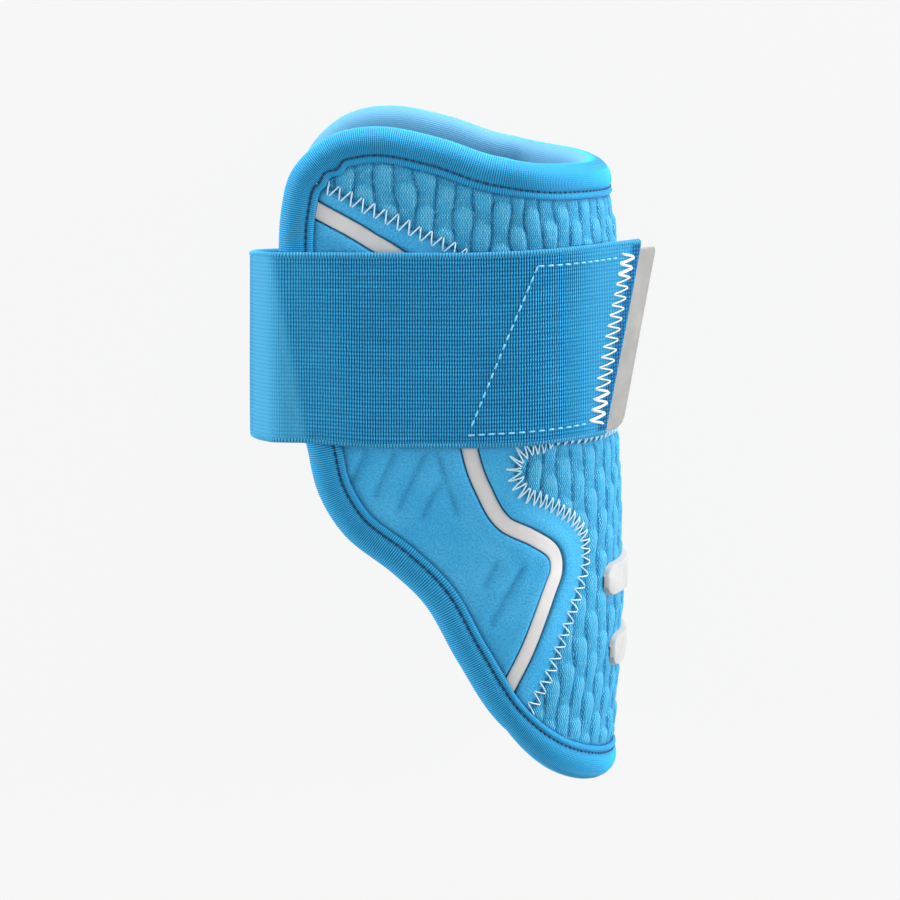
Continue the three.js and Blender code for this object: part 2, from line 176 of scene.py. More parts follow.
def form(y):
    """Front reach and half width at a height, by the same cubic interpolation as the CAD."""
    y = np.asarray(y, float)
    t = FORM[:, 0]
    high = np.clip(np.searchsorted(t, y, side="right"), 1, len(t) - 1)
    low = high - 1
    before = np.where(low > 0, low - 1, high)
    after = np.where(high < len(t) - 1, high + 1, low)
    half_step = (t[high] - t[low]) / 2
    w_before = half_step / (t[low] - t[before])
    w_after = half_step / (t[after] - t[high])
    p = (y - t[low]) / (t[high] - t[low])
    shares = [
        (before, -w_before * p**3 + 2 * w_before * p**2 - w_before * p),
        (low, (1 + w_before) * p**3 - (1.5 + 2 * w_before) * p**2 + (w_before - 0.5) * p + 1),
        (high, -(1 + w_after) * p**3 + (1.5 + w_after) * p**2 + 0.5 * p),
        (after, w_after * p**3 - w_after * p**2),
    ]
    value = sum(share[..., None] * FORM[row, 1:] for row, share in shares)
    return value[..., 0], value[..., 1]


def shell(girth, y, depth):
    """Points of the shell, in millimetres."""
    girth, y, depth = np.broadcast_arrays(*(np.asarray(v, float) for v in (girth, y, depth)))
    front, half = form(y)
    rounded = front - SIDE_FRONT
    side = np.where(girth < 0, -1.0, 1.0)
    reach = np.abs(girth)
    behind = np.maximum(0, reach - ROUND_GIRTH)
    angle = np.minimum(1, reach / ROUND_GIRTH) * math.pi / 2
    normal = np.stack([np.cos(angle) / rounded, np.sin(angle) / half])
    normal /= np.hypot(*normal)
    x = SIDE_FRONT + rounded * np.cos(angle) - behind - depth * normal[0]
    z = MIDDLE_Z + side * (half * np.sin(angle) - depth * normal[1])
    return np.stack([x, y, z], -1)


def on_shell(places, depth):
    """Points of the shell at places on the flat pattern, and the unit normals of its outer face there."""
    girth, y = places.T
    return shell(girth, y, depth), unit(shell(girth, y, -0.5) - shell(girth, y, 0.5))


def girth_at(x, y):
    """Girth on the near side of a point seen from the side."""
    ahead = np.clip((x - SIDE_FRONT) / (form(y)[0] - SIDE_FRONT), 0, 1)
    return np.where(x <= SIDE_FRONT, ROUND_GIRTH + SIDE_FRONT - x, np.arccos(ahead) * ROUND_GIRTH / (math.pi / 2))


def spaced(line, step):
    """The line again with points about step apart."""
    along = lengths(line)
    at = np.linspace(0, along[-1], max(2, round(along[-1] / step) + 1))
    return np.stack([np.interp(at, along, line[:, k]) for k in range(line.shape[1])], -1)


SPLINE_STEPS = 40


def spline(points, closed=False, power=0.0):
    """Catmull-Rom curve through points: power 0 is the uniform kind, 0.5 the centripetal kind."""
    n = len(points)
    share = np.linspace(0, 1, SPLINE_STEPS, endpoint=False)[:, None]
    curve = []
    for i in range(n if closed else n - 1):
        near = [(i + k) % n if closed else min(max(i + k, 0), n - 1) for k in (-1, 0, 1, 2)]
        p0, p1, p2, p3 = points[near]
        d0, d1, d2 = (max(np.linalg.norm(b - a), 1e-6) ** power for a, b in ((p0, p1), (p1, p2), (p2, p3)))
        m1 = ((p1 - p0) / d0 - (p2 - p0) / (d0 + d1) + (p2 - p1) / d1) * d1
        m2 = ((p2 - p1) / d1 - (p3 - p1) / (d1 + d2) + (p3 - p2) / d2) * d1
        curve.append(
            (2 * share**3 - 3 * share**2 + 1) * p1 + (share**3 - 2 * share**2 + share) * m1
            + (3 * share**2 - 2 * share**3) * p2 + (share**3 - share**2) * m2
        )
    return np.concatenate([*curve, points[:1] if closed else points[-1:]])


def sideways(line, closed=False):
    """Unit vectors to the left of the way a line on the flat pattern runs."""
    along = unit(np.roll(line, -1, 0) - np.roll(line, 1, 0) if closed else np.gradient(line, axis=0))
    return np.stack([-along[:, 1], along[:, 0]], -1)


def distance(points, line):
    """Distance from each point to a line."""
    best = np.full(len(points), np.inf)
    for a, b in zip(line[:-1], line[1:]):
        step = b - a
        share = np.clip((points - a) @ step / max(step @ step, 1e-12), 0, 1)
        best = np.minimum(best, np.linalg.norm(points - a - share[:, None] * step, axis=1))
    return best


def inside(points, loop):
    """Which points lie inside a closed loop."""
    hit = np.zeros(len(points), bool)
    x, y = points[:, 0], points[:, 1]
    for (ax, ay), (bx, by) in zip(loop, np.roll(loop, -1, 0)):
        if ay != by:
            crosses = (ay > y) != (by > y)
            hit ^= crosses & (x < (bx - ax) * (y - ay) / (by - ay) + ax)
    return hit


def on_pattern(line):
    """A line seen from the side, on the near half of the flat pattern, up to the front's middle line."""
    flat = np.stack([girth_at(line[:, 0], line[:, 1]), line[:, 1]], -1)
    middle = np.flatnonzero(flat[:, 0] <= 0)
    return flat[middle[-1]:] if len(middle) else flat


def mirrored(line):
    return line * (-1, 1)


edge_loop = spaced(spline(np.concatenate([EDGE, mirrored(EDGE[-2:0:-1])]), closed=True, power=0.5), 0.25)[:-1]
edge_inward = -sideways(edge_loop, closed=True)
coarse_edge = closing(edge_loop[::8])
EDGE_LENGTH = float(np.linalg.norm(np.diff(edge_loop, axis=0, append=edge_loop[:1]), axis=1).sum())
PUCKER_AT = (117.7, 59.2)


def pucker(places):
    """How far the hem strays inward at places on the edge: it is bunched at the near side's upper corner."""
    away = np.linalg.norm(places - PUCKER_AT, axis=-1) * np.sign(places[..., 1] - PUCKER_AT[1] + 1e-9)
    return bell(away, 8) * (0.55 + 0.75 * np.sin(away / 1.7))


# Materials
def linear(*colour):
    """Linear colour of an sRGB one given as 0 to 255."""
    c = np.array(colour) / 255
    c = np.where(c <= 0.04045, c / 12.92, ((c + 0.055) / 1.055) ** 2.4)
    return (*map(float, c), 1.0)


class Look:
    """A material with a short way to make and join its nodes. Its colour is painted in layers."""

    def __init__(self, name, roughness, specular, **settings):
        self.material = bpy.data.materials.new(name)
        self.material.use_nodes = True
        self.tree = self.material.node_tree
        self.shader = self.tree.nodes["Principled BSDF"]
        settings = {"Roughness": roughness, "Specular_IOR_Level": specular, **settings}
        for socket, value in settings.items():
            self.shader.inputs[socket.replace("_", " ")].default_value = value
        self.flat = self.node("ShaderNodeUVMap", {}, uv_map="pattern").outputs[0]
        split = self.node("ShaderNodeSeparateXYZ", {0: self.flat})
        self.u, self.v = split.outputs[0], split.outputs[1]

    def node(self, kind, inputs, **settings):
        node = self.tree.nodes.new(kind)
        for key, value in settings.items():
            setattr(node, key, value)
        for key, value in inputs.items():
            if isinstance(value, bpy.types.NodeSocket):
                self.tree.links.new(value, node.inputs[key])
            else:
                node.inputs[key].default_value = value
        return node

    def times(self, a, b, plus=0.0):
        return self.node("ShaderNodeMath", {0: a, 1: b, 2: plus}, operation="MULTIPLY_ADD").outputs[0]

    def wave(self, value, pitch):
        """A wave from 0 to 1 along a value in millimetres."""
        turned = self.times(value, TURN / pitch)
        return self.times(self.node("ShaderNodeMath", {0: turned}, operation="SINE").outputs[0], 0.5, 0.5)

    def noise(self, scale, detail=3.0, vector=None, roughness=0.55):
        inputs = {"Vector": vector or self.flat, "Scale": scale, "Detail": detail, "Roughness": roughness}
        return self.node("ShaderNodeTexNoise", inputs).outputs[0]

    def stretched(self, across, along):
        """The flat pattern scaled differently along its two ways."""
        scaled = {0: self.times(self.u, across), 1: self.times(self.v, along)}
        return self.node("ShaderNodeCombineXYZ", scaled).outputs[0]

    def span(self, value, low, high, to_low=0.0, to_high=1.0):
        inputs = {"Value": value, "From Min": low, "From Max": high, "To Min": to_low, "To Max": to_high}
        return self.node("ShaderNodeMapRange", inputs).outputs[0]

    def mottle(self, scale, detail, to_low=0.0, to_high=1.0):
        """Clouds that run from one value to another."""
        return self.span(self.noise(scale, detail), 0.35, 0.65, to_low, to_high)

    def tone(self, *span):
        """The tone kept on each point, which carries painted shade and painted highlights that each look reads its
        own way, taken to a span if one is given.
        """
        tone = self.node("ShaderNodeAttribute", {}, attribute_name="tone").outputs["Fac"]
        return self.span(tone, *span) if span else tone

    def paint(self, share, colour, under=None):
        """A layer of colour over what is painted so far, or over the first colour."""
        below = linear(*under) if under else self.base
        inputs = {0: share, 6: below, 7: linear(*colour)}
        self.base = self.node("ShaderNodeMix", inputs, data_type="RGBA").outputs[2]

    def bump(self, height, depth, strength):
        """Relief of that depth in millimetres, on top of any bump made before."""
        inputs = {"Strength": strength, "Distance": depth * MM, "Height": height}
        if self.shader.inputs["Normal"].is_linked:
            inputs["Normal"] = self.shader.inputs["Normal"].links[0].from_socket
        self.tree.links.new(self.node("ShaderNodeBump", inputs).outputs[0], self.shader.inputs["Normal"])

    def finish(self, value, to_low, to_high, low=0.3, high=0.7):
        """The material with its painted colour, and with a roughness that follows a value."""
        self.tree.links.new(self.base, self.shader.inputs["Base Color"])
        self.tree.links.new(self.span(value, low, high, to_low, to_high), self.shader.inputs["Roughness"])
        return self.material


def knit_look():
    """Jersey over foam: wavy columns of stitches, with painted shade in the grooves between the cells and a painted
    highlight on their tops.
    """
    look = Look("quilted_knit", 0.8, 0.2)
    stray = look.noise(0.9)
    sway = look.times(look.wave(look.v, 1.45), 0.4, look.u)
    wales = look.wave(look.times(stray, 0.7, sway), 0.76)
    courses = look.wave(look.times(stray, 1.1, look.v), 0.74)
    yarn = look.times(look.times(courses, 0.4, 0.6), wales)
    # painted shade from the tone: darkest in the grooves, on the feet, along the seam and along the hem
    look.paint(look.tone(0.0, 0.7), (84, 208, 255), under=(2, 84, 148))
    look.paint(look.mottle(0.09, 4, 0.0, 0.2), (44, 164, 220))
    # painted highlight on the cells' tops and on their flanks towards the front
    look.paint(look.tone(0.68, 0.95, 0.0, 0.75), (124, 222, 255))
    look.paint(look.span(yarn, 0.05, 0.55, 0.66, 0.0), (8, 122, 190))
    flecks = look.times(look.span(yarn, 0.4, 0.9), look.span(look.noise(0.6), 0.45, 0.65))
    look.paint(look.times(flecks, 0.7), (168, 234, 255))
    look.bump(yarn, 0.45, 1.0)
    look.bump(look.noise(2.6), 0.15, 0.7)
    return look.finish(look.noise(1.3), 0.7, 0.92)


def panel_look():
    """Brushed loop-faced cloth: a short soft nap with mottled colour."""
    look = Look("brushed_panel", 0.85, 0.18)
    nap = look.noise(1.7, 5, roughness=0.75)
    look.paint(look.mottle(0.05, 4), (91, 199, 249), under=(73, 185, 240))
    look.paint(look.span(nap, 0.36, 0.6, 0.7, 0.0), (26, 132, 190))
    # painted shade from the tone: darker along the seams and the hem, in the stripe's slot and in the creases
    look.paint(look.tone(0.0, 1.0, 0.9, 0.0), (6, 66, 112))
    look.bump(nap, 0.45, 0.9)
    look.bump(look.noise(4.5, 2), 0.08, 0.6)
    return look.finish(nap, 0.74, 0.95)


def lining_look():
    """Smooth jersey against the arm."""
    look = Look("lining_jersey", 0.8, 0.2)
    stitches = look.times(look.wave(look.u, 0.6), look.wave(look.v, 0.5))
    look.paint(look.mottle(0.07, 4), (130, 194, 222), under=(112, 180, 210))
    look.paint(look.span(stitches, 0.0, 0.6, 0.3, 0.0), (24, 126, 184))
    # painted shade: darker along the hem
    look.paint(look.tone(0.0, 1.0, 0.7, 0.0), (8, 74, 122))
    look.bump(stitches, 0.12, 0.8)
    look.bump(look.noise(0.16), 0.6, 0.4)
    return look.finish(look.noise(1.1), 0.72, 0.92)


def binding_look():
    """Fine ribbed tape: the ribs are in the mesh, the yarn along them is here. A low tone paints shade in the rib
    grooves, and tones over 1 paint a highlight over the crest and the inside.
    """
    look = Look("ribbed_binding", 0.7, 0.3)
    # painted shade in the rib grooves, at the hem's free end and in the stitch groove, and a painted highlight on the
    # rib crests
    look.paint(look.tone(0.12, 0.85), (52, 196, 252), under=(0, 50, 104))
    look.paint(look.mottle(0.08, 4, 0.0, 0.25), (28, 152, 208))
    look.paint(look.mottle(2.2, 3, 0.3, 0.0), (24, 136, 196))
    # painted highlight over the rolled edge's crest and on the inside
    look.paint(look.tone(0.9, 1.35, 0.0, 0.85), (106, 156, 190))
    look.bump(look.wave(look.v, 0.6), 0.08, 0.6)
    return look.finish(look.noise(1.6), 0.58, 0.8)


def strap_look():
    """Woven elastic: rows of weft between fine ribs, with dark pinholes where they meet.

    The tone falls from 1 to 0 where a painted highlight makes a bend or the lifted end paler and shows only the rows,
    and is over 1 on the dark end.
    """
    look = Look("woven_elastic", 0.75, 0.18)
    ribs = look.wave(look.times(look.noise(0.5, 2), 0.3, look.u), 0.765)
    rows = look.wave(look.times(look.noise(0.4, 2), 0.4, look.v), 1.135)
    weave = look.times(ribs, look.times(rows, 0.6, 0.4))
    warp = look.noise(1.0, 2, look.stretched(1.4, 0.06))
    weft = look.noise(1.0, 2, look.stretched(0.06, 1.6))
    look.paint(look.mottle(0.07, 4), (42, 182, 244), under=(28, 172, 236))
    look.paint(look.span(warp, 0.35, 0.65, 0.0, 0.45), (58, 166, 212))
    look.paint(look.span(weft, 0.35, 0.65, 0.35, 0.0), (8, 104, 158))
    # painted highlight on the bends and the lifted end, where the tone is low
    look.paint(look.times(look.tone(), -1.0, 1.0), (64, 162, 208))
    look.paint(look.tone(1.0, 1.5, 0.0, 0.6), (6, 104, 168))
    look.paint(look.times(look.span(weave, 0.0, 0.52, 1.0, 0.0), look.tone()), (0, 40, 84))
    look.paint(look.span(rows, 0.0, 0.45, 0.28, 0.0), (6, 92, 142))
    look.paint(look.span(weave, 0.75, 1.0, 0.0, 0.4), (96, 192, 234))
    look.bump(weave, 0.3, 0.9)
    look.bump(look.noise(2.0), 0.1, 0.6)
    return look.finish(weave, 0.88, 0.62, 0.0, 1.0)


def strap_edge_look():
    """Overlocked edge of the elastic."""
    look = Look("overlocked_edge", 0.8, 0.12)
    # painted shade between the stitch ribs
    look.paint(look.tone(), (80, 184, 228), under=(0, 60, 102))
    look.paint(look.mottle(0.5, 3, 0.35, 0.0), (28, 122, 180))
    look.bump(look.noise(3.0, 2), 0.05, 0.5)
    return look.finish(look.noise(1.5), 0.6, 0.85)


def thread_look(name, dark, light):
    """Sewing thread with its twist."""
    look = Look(name, 0.55, 0.4, Sheen_Weight=0.2, Sheen_Roughness=0.3)
    twist = look.wave(look.times(look.u, 1.0, look.v), 0.45)
    look.paint(look.span(look.noise(0.6, 2), 0.3, 0.7), light, under=dark)
    look.paint(look.span(twist, 0.0, 0.6, 0.35, 0.0), dark)
    look.bump(twist, 0.06, 0.7)
    return look.finish(look.noise(1.0), 0.45, 0.7)


def moulded_look(name, dark, light, rough, grain=0.03):
    """Matt moulded rubber or film, with a fine grain, a faint mottle, and painted shade where the tone is low."""
    look = Look(name, rough, 0.45)
    look.paint(look.span(look.noise(0.12, 5), 0.3, 0.7), light, under=dark)
    # painted shade at the stripe's edges, at the bar's foot and at the tab's fold and edges
    look.paint(look.tone(0.0, 1.0, 0.5, 0.0), dark)
    look.bump(look.noise(4.5), grain, 0.6)
    return look.finish(look.noise(0.9, 4), rough - 0.08, rough + 0.12)


def hook_look():
    """Hook tape: rows of tiny hooks."""
    look = Look("hook_rows", 0.6, 0.4)
    hooks = look.times(look.wave(look.u, 1.3), look.wave(look.v, 1.0))
    look.paint(hooks, (52, 134, 182), under=(16, 74, 116))
    look.bump(hooks, 0.35, 0.9)
    return look.finish(look.noise(1.0), 0.5, 0.75)


LOOKS = {
    "knit": knit_look(),
    "panel": panel_look(),
    "lining": lining_look(),
    "binding": binding_look(),
    "strap": strap_look(),
    "strap_edge": strap_edge_look(),
    "hook": hook_look(),
    "pale_thread": thread_look("pale_thread", (186, 234, 250), (232, 250, 254)),
    "white_thread": thread_look("white_thread", (206, 214, 218), (246, 248, 248)),
    "blue_thread": thread_look("blue_thread", (96, 196, 240), (150, 222, 248)),
    "dark_thread": thread_look("dark_thread", (4, 52, 92), (14, 78, 124)),
    "stripe": moulded_look("stripe_inlay", (212, 210, 208), (224, 222, 220), 0.55),
    "bar": moulded_look("bar_moulding", (174, 175, 175), (190, 191, 191), 0.5),
    "tab": moulded_look("tab_rubber", (140, 139, 136), (156, 155, 152), 0.6, 0.05),
}


# Meshes
def added(name, data):
    thing = bpy.data.objects.new(name, data)
    bpy.context.scene.collection.objects.link(thing)
    return thing


def add_piece(name, points, faces, look, flat, tone=1.0, node=None):
    """One smooth mesh that rides on the guard. Points and the flat pattern are in millimetres."""
    points = np.asarray(points, np.float32).reshape(-1, 3) * MM
    flat = np.asarray(flat, np.float32).reshape(-1, 2)
    tone = np.asarray(tone, np.float32).ravel() * np.ones(len(points), np.float32)
    faces = np.asarray(faces, np.int32)
    mesh = bpy.data.meshes.new(name)
    mesh.vertices.add(len(points))
    mesh.vertices.foreach_set("co", points.ravel())
    mesh.loops.add(faces.size)
    mesh.loops.foreach_set("vertex_index", faces.ravel())
    mesh.polygons.add(len(faces))
    mesh.polygons.foreach_set("loop_start", np.arange(0, faces.size, faces.shape[1], dtype=np.int32))
    mesh.update(calc_edges=True)
    mesh.polygons.foreach_set("use_smooth", np.ones(len(faces), bool))
    mesh.uv_layers.new(name="pattern").data.foreach_set("uv", flat[faces.ravel()].ravel())
    mesh.attributes.new("tone", "FLOAT", "POINT").data.foreach_set("value", tone)
    mesh.materials.append(LOOKS[look])
    piece = added(name, mesh)
    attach(piece, "root")
    if node:
        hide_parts(node)
    return piece


def grid_faces(columns, rows, closed_columns=False, closed_rows=False):
    """Quads of a grid whose points are numbered column by column."""
    i = np.arange(columns if closed_columns else columns - 1)[:, None]
    j = np.arange(rows if closed_rows else rows - 1)[None, :]
    i_next, j_next = (i + 1) % columns, (j + 1) % rows
    corners = [i * rows + j, i * rows + j_next, i_next * rows + j_next, i_next * rows + j]
    return np.stack(np.broadcast_arrays(*corners), -1).reshape(-1, 4)


def triangulated(loop, inner):
    """Triangles on the flat pattern inside a loop, whose points come first in the result."""
    points = [tuple(p) for p in np.concatenate([loop, inner])]
    found, _, faces, origins, _, _ = delaunay_2d_cdt(points, [], [list(range(len(loop)))], 1, 1e-7)
    place = np.array([min(o) if o else len(points) for o in origins])
    order = np.argsort(place, kind="stable")
    number = np.empty(len(order), int)
    number[order] = np.arange(len(order))
    return np.array([tuple(p) for p in found])[order], number[np.array(faces)]


def lattice(loop, step, clear):
    """Staggered points inside a loop, at least clear from it."""
    low, high = loop.min(0), loop.max(0)
    u, v = np.meshgrid(np.arange(low[0], high[0], step), np.arange(low[1], high[1], step * 0.866))
    u = u + step / 2 * (np.arange(len(u)) % 2)[:, None]
    points = np.stack([u, v], -1).reshape(-1, 2)
    points = points[inside(points, loop)]
    return points[distance(points, closing(loop)) > clear]


BACK_STEP = 4  # between the points of a panel's coarse back
BACK_CLEAR = 2
EXTRA_CLEAR = 0.12  # from the panel's edge to the extra rows


def add_panel(node, look, loop, step, face_depth, back_depth, lines=(), turned=False):
    """Closed padded panel: a fine face, a side wall and a coarse back.

    face_depth(points) gives the face's depths and tones. lines are (line on the pattern,
    offsets of extra rows of points, distance kept clear of the lattice).
    """
    inner = lattice(loop, step, step * 0.6)
    extra = []
    for line, offsets, clear in lines:
        inner = inner[distance(inner, line) > clear]
        left = sideways(line)
        extra += [line + left * offset for offset in offsets]
    if extra:
        extra = np.concatenate(extra)
        extra = extra[inside(extra, loop)]
        inner = np.concatenate([inner, extra[distance(extra, closing(loop)) > EXTRA_CLEAR]])
    front, front_faces = triangulated(loop, inner)
    back, back_faces = triangulated(loop, lattice(loop, BACK_STEP, BACK_CLEAR))
    depth, tone = face_depth(front)
    n, m = len(loop), len(front)
    ring = np.arange(n)
    after = (ring + 1) % n
    wall = np.concatenate([
        np.stack([ring, after, after + m], -1), np.stack([ring, after + m, ring + m], -1),
    ])
    clockwise = np.sum(loop[:, 0] * np.roll(loop[:, 1], -1) - loop[:, 1] * np.roll(loop[:, 0], -1)) < 0
    if clockwise:
        wall = wall[:, ::-1]
    faces = np.concatenate([front_faces[:, ::-1], wall, back_faces + m])
    if turned:
        faces = faces[:, ::-1]
    points = np.concatenate([shell(*front.T, depth), shell(*back.T, back_depth)])
    tones = np.concatenate([tone, np.zeros(len(back))])
    piece = add_piece(f"{node}_cloth", points, faces, look, np.concatenate([front, back]), tones, node)


THREAD_SIDES = 6
THREAD_TAPER = 0.4
THREAD_APART = 1.7  # between threads on the flat pattern


def add_tubes(name, paths, radius, look):
    """Threads: each path is (points, normals of the cloth under them), with tapered ends."""
    turn = np.arange(THREAD_SIDES) * TURN / THREAD_SIDES
    points, faces, flats, count, started = [], [], [], 0, 0.0
    for path, normal in paths:
        n = len(path)
        along = unit(np.gradient(path, axis=0))
        across = unit(np.cross(along, normal))
        up = np.cross(across, along)
        size = np.full(n, radius)
        size[[0, -1]] *= THREAD_TAPER
        ring = path[:, None] + size[:, None, None] * (
            np.cos(turn)[None, :, None] * across[:, None] + np.sin(turn)[None, :, None] * up[:, None]
        )
        points.append(ring.reshape(-1, 3))
        faces.append(grid_faces(n, THREAD_SIDES, closed_rows=True) + count)
        length = started + lengths(path)
        flats.append(paired(length[:, None], turn * radius).reshape(-1, 2))
        count += n * THREAD_SIDES
        started = length[-1] + THREAD_APART
    points, faces, flats = (np.concatenate(parts) for parts in (points, faces, flats))
    return add_piece(name, points, faces, look, flats)


# Outlines of the panels on the flat pattern
def crossing(line, loop):
    """Where a line first leaves a loop: its point, the line's index before it, and the loop's index before it."""
    out = ~inside(line, loop)
    i = int(np.argmax(out[1:] & ~out[:-1]))
    a, b = line[i], line[i + 1]
    c, d = loop, np.roll(loop, -1, 0)
    r, s = b - a, d - c
    det = r[0] * s[:, 1] - r[1] * s[:, 0]
    det = np.where(np.abs(det) < 1e-12, 1e-12, det)
    t = ((c[:, 0] - a[0]) * s[:, 1] - (c[:, 1] - a[1]) * s[:, 0]) / det
    k = ((c[:, 0] - a[0]) * r[1] - (c[:, 1] - a[1]) * r[0]) / det
    hit = np.flatnonzero((t >= 0) & (t <= 1) & (k >= 0) & (k <= 1))
    return a + t[hit[0]] * r, i, int(hit[0])


PANEL_INSET = 4.6
HEM_INSET = 10.4
SEAM_STEP = 0.4
STRIPE_STEP = 0.7
CREASE_STEP = 0.6
wall_loop = edge_loop + edge_inward * PANEL_INSET


def from_side_to_side(line):
    """A seam carried on to the panels' edge on both sides, and the index of that edge's point before it."""
    line = spaced(on_pattern(line), SEAM_STEP)
    end, last, stop = crossing(line, wall_loop)
    seam = np.concatenate([line[:last + 1], [end]])
    return np.concatenate([mirrored(seam[:0:-1]), seam]), stop


upper_across, upper_stop = from_side_to_side(spline(UPPER_SEAM)[::-1])
lower_across, lower_stop = from_side_to_side(spline(LOWER_SEAM))
wall_top = wall_loop[:upper_stop + 1]
wall_side = wall_loop[upper_stop + 1:lower_stop + 1]
wall_tip = wall_loop[lower_stop + 1:len(wall_loop) // 2 + 1]
stripe_line = spaced(on_pattern(spline(STRIPE)), STRIPE_STEP)
crease_lines = [spaced(on_pattern(spaced(np.array(ends, float), 1)), CREASE_STEP) for ends in CREASES]


def closed_loop(*lines, step=0.8):
    """Lines joined end to end into one evenly spaced loop."""
    return spaced(closing(np.concatenate(lines)), step)[:-1]


SEAM_DROP = 0.55


def seam_drop(points, *seams):
    """How far the cloth is pulled down by the stitches along seams, and how far the seams are."""
    far = np.min([distance(points, seam[::3]) for seam in seams], axis=0)
    return SEAM_DROP * bell(far, 1.1), far


def near_hem(points):
    """Share of the relief that stands clear of the binding, and the shade along the hem."""
    inset = distance(points, coarse_edge)
    clear = smoothstep(inset, HEM_INSET, HEM_INSET + 3)
    return clear, 0.2 + 0.8 * smoothstep(inset, HEM_INSET - 0.2, HEM_INSET + 1.3)


# Knit: columns of long cells, plump and wide under their round tops, with narrow feet between their neighbours' tops
CELL_COLUMN = 5.7
CELL_LENGTH = 12.3
CELL_ROUND = 2.6
CELL_RIM = 2.3
CELL_FALL = 0.6
CELL_SWELL = 0.08
CELL_HEIGHT = 1.25
CELL_MEAN = 0.45
CELL_PLAIN = 0.7


def chance(a, b):
    """A number from -1 to 1 that looks random, for each pair of whole numbers."""
    return 2 * np.mod(np.sin(a * 12.9898 + b * 78.233) * 43758.5453, 1) - 1


def cells(points):
    """Relief of the quilted cells, from 0 in a groove to 1 on top, and their shade, darkest in a groove."""
    u, v = points.T
    u = u + 0.55 * np.sin(v / 6.8 + u / 11) + 0.35 * np.sin(v / 3.1 + u / 4.7)

    def start(column):
        return column / 2 + 0.1 * chance(column, 3)

    def half_width(column):
        share = np.mod(start(column) - v / CELL_LENGTH, 1)
        return CELL_COLUMN / 2 * (1 + CELL_SWELL * np.cos(TURN * (share - 0.22)))

    column = np.round(u / CELL_COLUMN)
    beside = u - column * CELL_COLUMN
    column = column + np.where(np.abs(beside) > half_width(column), np.sign(beside), 0)
    beside = (u - column * CELL_COLUMN) / half_width(column)
    across = np.clip(np.abs(beside), 0, 1)
    top = start(column) * CELL_LENGTH - CELL_ROUND * (1 - np.sqrt(1 - across**2)) - v
    row = np.floor(top / CELL_LENGTH)
    below = top - row * CELL_LENGTH
    plump = 1 + 0.2 * chance(column, row)
    flank = np.sqrt(1 - np.clip((across - 0.2) / 0.8, 0, 1) ** 2)
    fall = 1 - CELL_FALL * smoothstep(below, 0.8 * CELL_RIM, CELL_LENGTH)
    relief = plump * flank * fall * (0.15 + 0.85 * quarter_round(below / CELL_RIM))
    # painted highlight over each top and the flank towards the front, and painted shade on the other flank, in the
    # grooves and on the feet
    front = -beside * np.tanh(u / 4)
    groove = smoothstep(1 - across, -0.05, 0.3)
    foot = smoothstep(below, 0.3 * CELL_LENGTH, CELL_LENGTH)
    plain = (0.12 + 0.88 * groove) * (1 - 0.22 * foot) * (1 - 0.2 * smoothstep(-front, 0.0, 0.9))
    cap = 0.6 * bell(below - 2.0, 1.9) * smoothstep(front, -1.0, 0.1)
    painted_flank_highlight = bell(front - 0.68, 0.2) * (1 - smoothstep(below, 4, 11))
    rim = groove * smoothstep(below, 0, 0.9) * np.maximum(cap, painted_flank_highlight)
    return relief, CELL_PLAIN * plain + (1 - CELL_PLAIN) * rim


def knit_depth(points, seam):
    """The knit is calm along its seam and pressed flat under the bars."""
    drop, far = seam_drop(points, seam)
    relief, shade = cells(points)
    pressed = np.ones(len(points))
    for _, y, half_girth, half_height in BARS:
        line = np.array([(-half_girth + half_height, y), (half_girth - half_height, y)], float)
        pressed *= smoothstep(distance(points, line), half_height - 1, half_height + 3.5)
    clear, hem_shade = near_hem(points)
    calm = smoothstep(far, 0.6, 3.6) * pressed
    height = clear * CELL_HEIGHT * (relief - CELL_MEAN) * (0.12 + 0.88 * calm)
    # painted shade: darker along the seam and along the hem
    tone = shade * (0.35 + 0.65 * smoothstep(far, 0, 1.2)) * hem_shade
    return drop - height, tone


# Wrap panel: soft nap over foam, with creases pressed in and a slot for the stripe
SLOT_HALF = STRIPE_HALF + GAP
SLOT_ROOM = 0.1
CREASE_WIDTH = 1.2
CREASE_DEPTH = 0.6
CREASE_SWELL = 0.3


def panel_depth(points):
    drop, far = seam_drop(points, upper_across, lower_across)
    clear, shade = near_hem(points)
    mirrored_points = np.abs(points) * (1, 0) + points * (0, 1)
    beside = distance(mirrored_points, stripe_line)
    slot = 1 - smoothstep(beside, SLOT_HALF - 0.12, SLOT_HALF + 0.5)
    swell = 0.45 * bell(beside - 4.6, 2.2) * clear
    depth = drop + slot * (STRIPE_RECESS + STRIPE_THICKNESS + SLOT_ROOM) - swell
    # painted shade: darker along the seams and the hem, in the stripe's slot and in the creases
    tone = (0.45 + 0.55 * smoothstep(far, 0, 1.0)) * shade
    tone *= 0.45 + 0.55 * smoothstep(beside, SLOT_HALF - 0.1, SLOT_HALF + 0.45)
    for line in crease_lines:
        away = distance(mirrored_points, line)
        pit = bell(away, CREASE_WIDTH)
        depth += CREASE_DEPTH * pit - CREASE_SWELL * bell(away - 3.0, 1.8) * clear
        tone *= 1 - 0.1 * pit
    return depth, tone


def lining_depth(points):
    """Soft foam under jersey: full in the middle, drawn in at the binding, a little uneven."""
    clear, shade = near_hem(points)
    u, v = points[:, 0], points[:, 1]
    uneven = np.sin(u / 13 + np.sin(v / 17)) * np.sin(v / 19 + 0.6) + 0.6 * np.sin(u / 7.3 + v / 23)
    folds = bell(np.abs(u) - 40 - 3 * np.sin(v / 15), 3.2)
    return WALL + clear * (0.5 + 0.35 * uneven - 0.5 * folds), shade


KNIT_STEP = 0.62
PANEL_STEP = 0.85
LINING_STEP = 1.5
STRIPE_ROWS = (-3.7, -3.2, -2.9, -2.72, -2.56, -2.42, -1.2, 0, 1.2, 2.42, 2.56, 2.72, 2.9, 3.2, 3.7)
STRIPE_CLEAR = 4.1
CREASE_ROWS = (-1.3, -0.8, -0.4, 0, 0.4, 0.8, 1.3)
CREASE_CLEAR = 1.6


